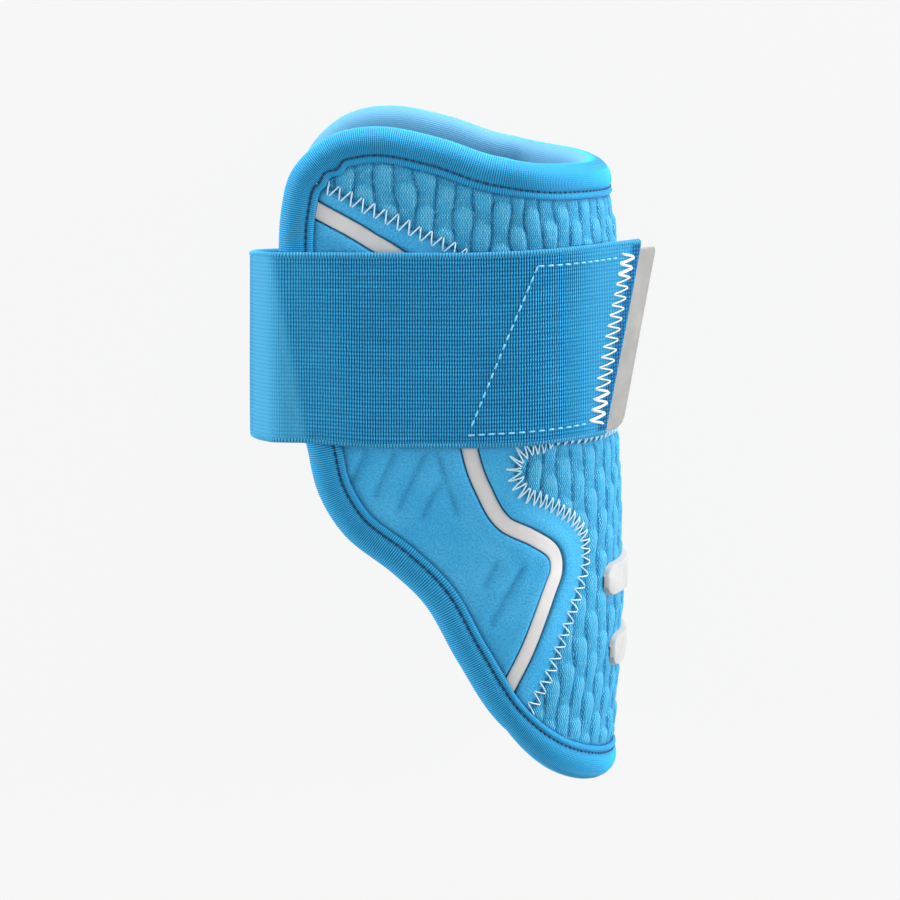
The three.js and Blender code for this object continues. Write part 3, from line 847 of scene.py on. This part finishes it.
def add_panels():
    top = np.concatenate([mirrored(wall_top[::-1]), wall_top[1:]])[::-1]
    tip = np.concatenate([wall_tip, mirrored(wall_tip[::-1])])
    for node, seam, edge in (("knit_upper", upper_across, top), ("knit_lower", lower_across, tip)):
        add_panel(
            node, "knit", closed_loop(seam, edge), KNIT_STEP,
            lambda points: knit_depth(points, seam), OUTER_LAYER,
        )
    lines = [(stripe_line, STRIPE_ROWS, STRIPE_CLEAR)]
    lines += [(line, CREASE_ROWS, CREASE_CLEAR) for line in crease_lines]
    lines += [(mirrored(line), rows, clear) for line, rows, clear in lines]
    outline = closed_loop(upper_across, wall_side, lower_across[::-1], mirrored(wall_side[::-1]))
    add_panel("wrap_panel", "panel", outline, PANEL_STEP, panel_depth, OUTER_LAYER, lines)
    outline = closed_loop(wall_loop, step=1.2)
    add_panel("lining", "lining", outline, LINING_STEP, lining_depth, OUTER_LAYER + GAP, turned=True)


# Edge binding: (inset, depth) from the hem's free end over the rolled edge to the inside
BINDING = np.array([
    (10.5, 0.1), (10.35, -0.5), (9.8, -1.0), (9.25, -1.1), (8.7, -0.95), (8.2, -0.4), (7.75, -0.75),
    (6.9, -1.15), (5.4, -1.35), (3.8, -1.2), (2.4, -0.7), (1.1, 0.4), (0.3, 1.9), (0, 3.5), (0.3, 5.1),
    (1.1, 6.6), (2.4, 7.7), (4, 8.2), (6, 8.3), (8, 7.9), (9.4, 7.45), (9.5, 7.2), (2, 7.3), (2, -0.3),
], float)
HIDDEN_FROM = 21  # rows of the binding that lie hidden in the shell
HEM_GROOVE = 8.2
RIB_PITCH = 0.65
RIB_HEIGHT = 0.26
RIB_STEPS = 3


def add_binding():
    stations = round(EDGE_LENGTH / RIB_PITCH) * RIB_STEPS
    loop = spaced(closing(edge_loop), EDGE_LENGTH / stations)[:-1]
    inward = -sideways(loop, closed=True)
    inset, depth = BINDING.T
    row = np.arange(len(BINDING))
    rib = 0.5 + 0.5 * np.cos(np.arange(stations) * TURN / RIB_STEPS)[:, None]
    outer = (inset > 0) & (depth < WALL / 2)
    inner = smoothstep(depth, 0.15 * WALL, 0.8 * WALL)
    # the ribs are low on the hem and on the inside
    ribbed = np.where(inset > 8.6, 0.35, 1.0) * (row < HIDDEN_FROM)
    lift = RIB_HEIGHT * rib * ribbed * (1 - 0.7 * smoothstep(depth, 0.5 * WALL, WALL))
    way = unit(np.gradient(BINDING, axis=0))
    insets = inset + way[:, 1] * lift + pucker(loop)[:, None] * smoothstep(inset, 6.5, 8.6) * outer
    depths = depth + way[:, 0] * lift
    places = loop[:, None] + inward[:, None] * insets[..., None]
    points = shell(places[..., 0], places[..., 1], depths)
    flat = paired((np.arange(stations) * RIB_PITCH / RIB_STEPS)[:, None], lengths(BINDING))
    # painted shade in the rib grooves, on the hem's free end and in the stitch groove, and a painted highlight over
    # the crest and the inside
    groove = 1 - bell(inset - HEM_GROOVE, 0.45) * outer
    tone = rib * (1 - inner) + (1.25 + 0.15 * rib) * inner
    tone = tone * np.where(row == 0, 0.3, 1) * (0.5 + 0.5 * groove)
    faces = grid_faces(stations, len(BINDING), closed_columns=True, closed_rows=True)
    piece = add_piece("binding_tape", points, faces, "binding", flat, tone, "edge_binding")


# Stitches in the groove beside the hem
HEM_STITCH_PITCH = 2.2
HEM_STITCH_LENGTH = 1.3
HEM_STITCH_DEPTHS = np.array([0.1, -0.56, -0.74, -0.74, -0.56, 0.1])
HEM_THREAD = 0.36


def add_hem_stitches():
    paths = []
    count = round(EDGE_LENGTH / HEM_STITCH_PITCH)
    size = len(edge_loop)
    reach = HEM_STITCH_LENGTH / 2 * size / EDGE_LENGTH
    for k in range(count):
        middle = k * size / count
        at = np.round(np.linspace(middle - reach, middle + reach, len(HEM_STITCH_DEPTHS))).astype(int) % size
        places = edge_loop[at] + edge_inward[at] * (HEM_GROOVE + pucker(edge_loop[at]))[:, None]
        paths.append(on_shell(places, HEM_STITCH_DEPTHS))
    add_tubes("hem_stitches", paths, HEM_THREAD, "dark_thread")


# Zigzag seams
ZIGZAG_DEPTHS = np.array([0.45, -0.2, -0.5, -0.55, -0.5, -0.2, 0.45])
ZIGZAG_PITCH = 3.7
SEAM_THREAD = 0.21


def stitched(ends, on_cloth, heights):
    """Threads from each point of a zigzag to the next, as paths for add_tubes()."""
    share = np.linspace(0, 1, len(heights))[:, None]
    return [on_cloth(a + (b - a) * share, heights) for a, b in zip(ends[:-1], ends[1:])]


def zigzag(line, pitch, half_width, shift):
    """Stitches that cross a seam to and fro.

    Their pitch, half width and shift to the left are given along the line.
    """
    along = lengths(line)
    columns = (*line.T, *sideways(line).T, pitch, half_width, shift)
    uneven = np.random.default_rng(11)
    at, side, ends = 1.0, 1, []
    while at < along[-1] - 1:
        x, y, left_x, left_y, step, half, aside = (np.interp(at, along, column) for column in columns)
        reach = side * half + aside + uneven.uniform(-0.2, 0.2)
        ends.append(np.array([x, y]) + np.array([left_x, left_y]) * reach)
        at += step / 2 + uneven.uniform(-0.12, 0.12)
        side = -side
    return stitched(ends, on_shell, ZIGZAG_DEPTHS)


def add_seams():
    line = upper_across[3:-3]
    plain = np.ones(len(line))
    paths = zigzag(line, ZIGZAG_PITCH * plain, 2.5 * plain, 0 * plain)
    add_tubes("seam_upper", paths, SEAM_THREAD, "pale_thread")
    line = lower_across[3:-3]
    girth, y = np.abs(line[:, 0]), line[:, 1]
    tight = smoothstep(y, -66, -52)
    # the seam's front run hides under the strap's edge, and its lobe has the longest stitches
    front = smoothstep(-girth, -48, -44) * smoothstep(y, -33, -30)
    lobe = smoothstep(girth, 50, 54) * smoothstep(y, -46, -40)
    pitch = ZIGZAG_PITCH - 1.3 * tight + 0.5 * front
    half_width = 2.4 + 0.35 * tight - 0.7 * front + 0.4 * lobe
    paths = zigzag(line, pitch, half_width, 1.5 * front + 0.6 * lobe)
    add_tubes("seam_lower", paths, SEAM_THREAD, "pale_thread")


# Inlaid stripes: offset from the stripe's line, depth and tone of each row, the low tone painting shade at the edges
STRIPE_SECTION = np.array([
    (-STRIPE_HALF, STRIPE_RECESS + STRIPE_THICKNESS, 0), (-STRIPE_HALF, 0.7, 0), (-2.2, 0.48, 0.6), (-2, 0.4, 1),
    (-1, 0.38, 1), (0, 0.38, 1), (1, 0.38, 1), (2, 0.4, 1), (2.2, 0.48, 0.6), (STRIPE_HALF, 0.7, 0),
    (STRIPE_HALF, STRIPE_RECESS + STRIPE_THICKNESS, 0),
], float)


def add_stripe(node, line):
    line = line[distance(line, coarse_edge) > PANEL_INSET + 0.5]
    line = line[inside(line, edge_loop[::4])]
    offsets, depths, tones = STRIPE_SECTION.T
    places = line[:, None] + sideways(line)[:, None] * offsets[None, :, None]
    points = shell(places[..., 0], places[..., 1], depths)
    flat = paired((np.arange(len(line)) * STRIPE_STEP)[:, None], offsets)
    faces = grid_faces(len(line), len(offsets), closed_rows=True)
    if line[0, 0] > 0:
        faces = faces[:, ::-1]
    add_piece(f"{node}_film", points, faces, "stripe", flat, np.broadcast_to(tones, places.shape[:2]), node)


# Front bars
BAR_COLUMNS = 91
BAR_ROWS = 25
BAR_FLANK = 0.3  # share of half the section that runs up a flank
BAR_CROWN = 0.25


def add_bar(node, y, half_girth, half_height):
    across = np.linspace(-1, 1, BAR_COLUMNS)[:, None]
    # the section runs up one flank, over the crown and down the other
    turn = np.linspace(-1, 1, BAR_ROWS)
    top = 1 - BAR_FLANK
    end_share = half_height / half_girth
    into = np.maximum(0, (np.abs(across) - (1 - end_share)) / end_share)
    height = half_height * np.maximum(BAR_BLUNT, np.sqrt(np.maximum(0, 1 - into**2)))
    rise = quarter_round((1 - np.abs(turn)) / BAR_FLANK)
    reach = np.where(np.abs(turn) > top, 1 - 0.12 * rise, np.abs(turn) / top * 0.88)
    end_rise = quarter_round((1 - np.abs(across)) / 0.035)
    v = y - np.sign(turn) * reach * height
    crown = BAR_CROWN * (1 - (turn / top) ** 2) * (np.abs(turn) < top)
    depth = -GAP * 0.2 - (BAR_THICKNESS + GAP) * rise * (0.25 + 0.75 * end_rise) - crown * end_rise
    u = across * half_girth
    faces = grid_faces(BAR_COLUMNS, BAR_ROWS)[:, ::-1]
    # painted shade at the bar's foot, where the tone is low
    tone = np.broadcast_to(rise, v.shape)
    add_piece(f"{node}_rubber", shell(u, v, depth), faces, "bar", paired(u, v), tone, node)


# Strap: its middle line seen along the arm, as x and height above the middle plane
FRONT_REACH = float(form(-STRAP_WIDTH / 2)[0]) - SIDE_FRONT
STRAP_STEP = STRAP_STANDOFF + STRAP_THICKNESS / 2
STRAP_REACH = HALF_WIDTH + STRAP_STEP
STRAP_FRONT = FRONT_REACH + STRAP_STEP
LIFT_POINT = np.array([SIDE_FRONT + STRAP_FRONT * math.cos(LIFT_ANGLE), STRAP_REACH * math.sin(LIFT_ANGLE)])
LIFT_WAY = unit(np.array([STRAP_FRONT * math.sin(LIFT_ANGLE), -STRAP_REACH * math.cos(LIFT_ANGLE)]))


def arc(x, height, x_radius, radius, start, stop):
    turn = np.linspace(start, stop, 60)
    return np.stack([x + x_radius * np.cos(turn), height + radius * np.sin(turn)], -1)


def strap_path():
    """From the sewn end along the far side, round the open side in a bow, and along the near side to the free end."""
    corner = STRAP_REACH - CORNER_RADIUS
    turned = math.pi / 2 + CORNER_TURN
    bow = (corner + CORNER_RADIUS * math.sin(turned)) / math.sin(turned)
    bow_x = CORNER_X + (CORNER_RADIUS - bow) * math.cos(turned)
    sewn_step = GAP + STRAP_THICKNESS / 2
    sewn = np.array([
        SIDE_FRONT + (FRONT_REACH + sewn_step) * math.cos(SEWN_ANGLE),
        -(HALF_WIDTH + sewn_step) * math.sin(SEWN_ANGLE),
    ])
    share = np.linspace(0, 1, 30)[:, None]
    pull = np.array([SIDE_FRONT + SEWN_SLOPE, -STRAP_REACH])
    flat_start = np.array([SIDE_FRONT, -STRAP_REACH])
    return np.concatenate([
        (1 - share) ** 2 * sewn + 2 * share * (1 - share) * pull + share**2 * flat_start,
        arc(CORNER_X, -corner, CORNER_RADIUS, CORNER_RADIUS, -math.pi / 2, -turned),
        arc(bow_x, 0, bow, bow, -turned, turned - TURN),
        arc(CORNER_X, corner, CORNER_RADIUS, CORNER_RADIUS, turned, math.pi / 2),
        arc(SIDE_FRONT, 0, STRAP_FRONT, STRAP_REACH, math.pi / 2, LIFT_ANGLE),
        LIFT_POINT + LIFT_WAY * np.linspace(0.5, END_LONG + TAB_REACH + 1, 40)[:, None],
    ])


strap_line = spaced(strap_path(), 0.3)
strap_x, strap_height = strap_line.T
strap_along = lengths(strap_line)
strap_way = unit(np.gradient(strap_line, axis=0))
strap_middle = STRAP_LEVEL + np.where(
    (strap_height > 0) & (strap_x > 0),
    END_RISE * smoothstep(strap_x, 0, LIFT_POINT[0]),
    -FAR_DROP * (STRAP_REACH - strap_height).clip(0) / (2 * STRAP_REACH),
)
# the elastic is slack and wider on the near side, where its lower edge hangs lower
strap_slack = (
    STRAP_SLACK * smoothstep(strap_height, 0, 20) * smoothstep(strap_x, -46, -20)
    * (1 - 0.4 * smoothstep(strap_x, 20, 52))
)
LIFT_ALONG = float(strap_along[np.argmin(np.linalg.norm(strap_line - LIFT_POINT, axis=1))])
near_run = strap_along > strap_along[np.argmin(strap_x)]


def on_line(along, *columns):
    """Values given along the strap's middle line, at lengths from its sewn end."""
    return (np.interp(along, strap_along, column) for column in columns)


def near_along(x):
    """Length along the strap at a place on its near side."""
    return np.interp(x, strap_x[near_run], strap_along[near_run])


def strap_point(along, across, offset):
    """Point of the strap at a length from its sewn end, a distance across, and an offset from its middle."""
    along, across, offset = np.broadcast_arrays(*(np.asarray(v, float) for v in (along, across, offset)))
    x, height, way_x, way_z, middle, slack = on_line(
        along, strap_x, strap_height, *strap_way.T, strap_middle, strap_slack
    )
    y = middle + across + slack * (across - STRAP_WIDTH / 2)
    return np.stack([x - way_z * offset, y, MIDDLE_Z + height + way_x * offset], -1)


def strap_end(across):
    """Length along the strap at which its slanted end lies."""
    share = (np.asarray(across, float) + STRAP_WIDTH / 2) / STRAP_WIDTH
    return LIFT_ALONG + END_SHORT + (END_LONG - END_SHORT) * share


EDGE_BEAD = 1.7
EDGE_PITCH = 0.9
EDGE_STEPS = 4
STRAP_ROWS = 62
STRAP_COLUMN_STEP = 0.9
END_COLUMNS = 42  # over the part that is slanted towards the end


def add_strap():
    shear_from = LIFT_ALONG - 3
    body = np.arange(0, shear_from, STRAP_COLUMN_STEP)
    run = np.linspace(0, 1, END_COLUMNS)[:, None]
    half = STRAP_WIDTH / 2 - EDGE_BEAD / 2
    # rows go over the outer face, round one edge, back over the inner face and round the other edge
    outer = np.linspace(half, -half, STRAP_ROWS)
    across = np.concatenate([outer, outer[::-1]])
    side = np.repeat([1.0, -1.0], STRAP_ROWS)
    along = np.concatenate([
        np.broadcast_to(body[:, None], (len(body), len(across))),
        shear_from + run * (strap_end(across) - 0.2 - shear_from),
    ])
    edge = np.minimum(1, (half - np.abs(across)) / 0.9)
    thick = STRAP_THICKNESS / 2 * (0.72 + 0.28 * np.sqrt(edge))
    wavy = 0.12 * np.sin(along / 9 + across / 14) * (side > 0)
    points = strap_point(along, across, side * thick + wavy)
    # painted highlight, paler: behind a slanted line at the near corner, and over the lifted end
    x, height = on_line(along, strap_x, strap_height)
    past = x - (CORNER_X - 0.5 - 9.6 * across / STRAP_WIDTH)
    tone = np.maximum(
        0.75 * smoothstep(past, -1.5, 2) + 0.25 * smoothstep(past, 1, 24),
        smoothstep(-np.abs(height), -30, -5),
    )
    tone = tone * (1 - 0.65 * smoothstep(along, LIFT_ALONG - 12, LIFT_ALONG + 8))
    # the end is folded under and dark, with a pale cut edge
    from_end = strap_end(across) - along
    tone = tone + (1.5 - tone) * (1 - smoothstep(from_end, 3, 6))
    tone = tone * smoothstep(from_end, -0.2, 1.0)
    columns, rows = along.shape
    strip = np.arange(STRAP_ROWS - 1)
    cap = np.stack([strip, strip + 1, rows - 2 - strip, rows - 1 - strip], -1)
    faces = np.concatenate([
        grid_faces(columns, rows, closed_rows=True), cap[:, ::-1], cap + (columns - 1) * rows,
    ])
    return add_piece("strap_webbing", points, faces, "strap", paired(along, across), tone, "strap")


def add_strap_edge(name, side):
    """Overlocked bead along one edge, with a rib for each stitch."""
    stop = float(strap_end(side * STRAP_WIDTH / 2)) - 0.3
    ribs = int(stop / EDGE_PITCH)
    along = (np.arange(ribs * EDGE_STEPS + 1) * EDGE_PITCH / EDGE_STEPS)[:, None]
    rib = 0.5 + 0.5 * np.cos(np.arange(len(along)) * TURN / EDGE_STEPS)[:, None]
    turn = np.linspace(0, TURN, 14, endpoint=False)
    swell = 1 + 0.12 * rib
    across = side * (STRAP_WIDTH / 2 - EDGE_BEAD / 2 + swell * EDGE_BEAD / 2 * np.cos(turn))
    offset = swell * (STRAP_THICKNESS / 2 + 0.02) * np.sin(turn)
    points = strap_point(along, across, offset)
    # painted shade between the stitch ribs
    tone = np.broadcast_to(0.1 + 0.9 * rib, across.shape)
    faces = grid_faces(len(along), len(turn), closed_rows=True)
    if side > 0:
        faces = faces[:, ::-1]
    return add_piece(name, points, faces, "strap_edge", paired(along, turn * EDGE_BEAD / 2), tone)


# Stitches on the strap: the hook patch's outline seen from the side, and the zigzags along both ends
PATCH_CORNER = (HOOK_TOP_X, 25.0)
PATCH_FOOT = (HOOK_BOTTOM_X, -24.2)
PATCH_LINES = [(PATCH_CORNER, (53.6, 25.4)), (PATCH_CORNER, PATCH_FOOT), (PATCH_FOOT, (44.4, -21.8))]
DASH_LENGTH = 2.1
DASH_PITCH = 2.9
DASH_OFFSETS = np.array([-0.25, 0.12, 0.2, 0.2, 0.12, -0.25])
DASH_STOP = 9.4  # from the slanted end
DASH_THREAD = 0.27
END_ZIGZAG = (9.6, 2.2)  # from the slanted end
END_ROWS = np.arange(24.4, -25.2, -1.47)
SEWN_ZIGZAG = (2, 6.5)  # from the sewn end
SEWN_ROWS = np.arange(25, -25, -1.32)
END_OFFSETS = np.array([-0.3, 0.15, 0.3, 0.36, 0.3, 0.15, -0.3])
END_THREAD = 0.26


def on_strap(places, offsets):
    """Points on the strap's outer face, and its normals, at (length along, distance across)."""
    along, across = places.T
    way_x, way_z = on_line(along, *strap_way.T)
    normal = np.stack([-way_z, np.zeros_like(way_x), way_x], -1)
    return strap_point(along, across, STRAP_THICKNESS / 2 + offsets), normal


def add_patch_stitches():
    paths = []
    for ends in PATCH_LINES:
        x, y = spaced(np.array(ends, float), 0.25).T
        along = near_along(x)
        middle, slack = on_line(along, strap_middle, strap_slack)
        line = np.stack([along, (y - middle + slack * STRAP_WIDTH / 2) / (1 + slack)], -1)
        line = spaced(line[line[:, 0] < strap_end(line[:, 1]) - DASH_STOP], 0.05)
        size = len(line)
        length = float(np.linalg.norm(np.diff(line, axis=0), axis=1).sum())
        for k in range(int(length / DASH_PITCH)):
            first = k * DASH_PITCH / length * size
            at = np.linspace(first, first + DASH_LENGTH / length * size, len(DASH_OFFSETS))
            paths.append(on_strap(line[at.astype(int).clip(0, size - 1)], DASH_OFFSETS))
    return add_tubes("patch_stitches", paths, DASH_THREAD, "blue_thread")


def add_end_zigzags():
    free = [(float(strap_end(y)) - END_ZIGZAG[k % 2], y) for k, y in enumerate(END_ROWS)]
    # the free end's zigzag is sewn twice over at the top and at the bottom
    again = [[(along + 0.4, y - 0.35) for along, y in run] for run in (free[:6], free[-8:])]
    sewn = [(SEWN_ZIGZAG[k % 2], y) for k, y in enumerate(SEWN_ROWS)]
    paths = [path for run in (free, *again, sewn) for path in stitched(np.array(run), on_strap, END_OFFSETS)]
    return add_tubes("end_zigzags", paths, END_THREAD, "white_thread")


def slab_faces(columns, rows):
    """Faces of a closed slab: an outer grid, then an inner grid of the same size."""
    outer = grid_faces(columns, rows)
    total = columns * rows
    i, j = np.arange(columns - 1), np.arange(rows - 1)

    def rim(a, b):
        return np.stack([b, a, a + total, b + total], -1)

    walls = [
        rim(i * rows, (i + 1) * rows)[:, ::-1], rim(i * rows + rows - 1, (i + 1) * rows + rows - 1),
        rim(j, j + 1), rim((columns - 1) * rows + j, (columns - 1) * rows + j + 1)[:, ::-1],
    ]
    return np.concatenate([outer, outer[:, ::-1] + total, *walls])


def add_slab(name, along, across, offsets, look, node, tone=1.0):
    """Closed slab between two offsets from the strap's middle."""
    points = [strap_point(along, across, offset) for offset in offsets]
    flat = paired(along, across)
    tone = np.broadcast_to(tone, along.shape)
    return add_piece(name, points, slab_faces(*along.shape), look, [flat, flat], [tone, tone], node)


def add_hook_patch():
    columns, rows = 70, 49
    across = HOOK_WIDTH * np.linspace(0.5, -0.5, rows)
    start = near_along(np.linspace(HOOK_TOP_X, HOOK_BOTTOM_X, rows))
    stop = strap_end(across) - TAB_ROOT - GAP
    along = start + np.linspace(0, 1, columns)[:, None] * (stop - start)
    top = -STRAP_THICKNESS / 2 - GAP
    piece = add_slab("hook_tape", along, across, (top, top - HOOK_THICKNESS), "hook", "hook_patch")
    return piece, float(np.mean(stop - start))


# Pull tab: a folded tape with a round fold and rounded corners
TAB_CORNERS = (1.6, 4.2)  # at the top and at the bottom


def add_pull_tab():
    columns, rows = 46, 90
    spread = np.sin(np.linspace(-1, 1, rows) * math.pi / 2)
    across = (TAB_TOP + TAB_BOTTOM + (TAB_TOP - TAB_BOTTOM) * spread[::-1]) / 2
    from_ends = (TAB_TOP - across, across - TAB_BOTTOM)
    cut = sum(corner * (1 - quarter_round(from_end / corner)) for corner, from_end in zip(TAB_CORNERS, from_ends))
    length = TAB_ROOT + TAB_REACH - cut
    run = np.sin(np.linspace(0, 1, columns) * math.pi / 2)[:, None]
    along = strap_end(across) - TAB_ROOT + run * length
    from_fold = (1 - run) * length
    fold = quarter_round(from_fold / 0.55)
    flank = quarter_round(np.minimum(*from_ends) / 0.4)
    half = TAB_THICKNESS / 2 * np.maximum(0.05, np.minimum(fold, flank))
    half = half * (1 - 0.12 * bell(from_fold - 1.6, 0.5))
    middle = -STRAP_THICKNESS / 2 - GAP - TAB_THICKNESS / 2
    # painted shade at the fold and at the edges
    tone = 0.4 + 0.6 * np.minimum(fold, flank)
    return add_slab("tab_tape", along, across, (middle + half, middle - half), "tab", "pull_tab", tone)


# Stage, in metres
CAMERA_TARGET = Vector((-2.1, -35.4, MIDDLE_Z)) * MM
CAMERA_DISTANCE = 1.5
CAMERA_CLIP = (0.05, 20)
CAMERA_TURN = math.radians(2)
CAMERA_TILT = math.radians(8)
CAMERA_LENS = 200
CAMERA_SENSOR = 36
FLOOR_REACH = 6.0
FLOOR_DROP = 0.0006
FLOOR_LOOK = {
    "Base Color": (0.01, 0.01, 0.01, 1), "Roughness": 0.9, "Emission Color": (1, 1, 1, 1), "Emission Strength": 0.9,
}
# Share of the way up the sky, and its grey there
SKY = [(0.02, 0.9), (0.75, 0.5)]
# Lights: name, place, size, power
LIGHTS = [
    ("key_upper", (0.1, 1.2, 0.11), (1.2, 0.2), 20),
    ("side_front", (1.2, 0.1, 0.17), (0.25, 1.2), 18),
    ("side_back", (-1.2, 0.0, 0.14), (0.2, 1.2), 15),
]


def add_camera():
    data = bpy.data.cameras.new("camera")
    data.lens = CAMERA_LENS
    data.sensor_width = CAMERA_SENSOR
    data.clip_start, data.clip_end = CAMERA_CLIP
    turn = Matrix.Rotation(CAMERA_TURN, 4, "Y") @ Matrix.Rotation(-CAMERA_TILT, 4, "X")
    back = Matrix.Translation((0, 0, CAMERA_DISTANCE))
    camera = added("camera", data)
    camera.matrix_world = Matrix.Translation(CAMERA_TARGET) @ turn @ back
    bpy.context.scene.camera = camera


def add_light(name, place, size, power):
    data = bpy.data.lights.new(name, "AREA")
    data.shape = "RECTANGLE"
    data.size, data.size_y = size
    data.energy = power
    light = added(name, data)
    light.location = place
    light.rotation_mode = "QUATERNION"
    light.rotation_quaternion = (CAMERA_TARGET - Vector(place)).to_track_quat("-Z", "Y")


def add_floor():
    mesh = bpy.data.meshes.new("floor")
    corners = [(x * FLOOR_REACH, y * FLOOR_REACH, 0) for x, y in ((-1, -1), (1, -1), (1, 1), (-1, 1))]
    mesh.from_pydata(corners, [], [(0, 1, 2, 3)])
    floor = added("floor", mesh)
    floor.location.z = cad_box[0].z - FLOOR_DROP
    paint = bpy.data.materials.new("pale_floor")
    paint.use_nodes = True
    for socket, value in FLOOR_LOOK.items():
        paint.node_tree.nodes["Principled BSDF"].inputs[socket].default_value = value
    mesh.materials.append(paint)


def add_sky():
    world = bpy.data.worlds.new("studio")
    bpy.context.scene.world = world
    world.use_nodes = True
    nodes, links = world.node_tree.nodes, world.node_tree.links
    way = nodes.new("ShaderNodeTexCoord")
    split = nodes.new("ShaderNodeSeparateXYZ")
    links.new(way.outputs["Generated"], split.inputs[0])
    fade = nodes.new("ShaderNodeValToRGB")
    for element, (position, grey) in zip(fade.color_ramp.elements, SKY):
        element.position = position
        element.color = (grey, grey, grey, 1)
    links.new(split.outputs[2], fade.inputs[0])
    links.new(fade.outputs[0], nodes["Background"].inputs[0])


# Assembly
add_camera()
add_floor()
add_sky()
for light in LIGHTS:
    add_light(*light)
bpy.context.scene.view_settings.view_transform = "Standard"
add_panels()
add_binding()
add_hem_stitches()
add_seams()
add_stripe("stripe_near", stripe_line)
add_stripe("stripe_far", mirrored(stripe_line))
for bar in BARS:
    add_bar(*bar)
strap = add_strap()
strap_beads = [add_strap_edge("strap_edge_upper", 1), add_strap_edge("strap_edge_lower", -1)]
strap_stitches = [add_patch_stitches(), add_end_zigzags()]
hook_patch, hook_length = add_hook_patch()
pull_tab = add_pull_tab()
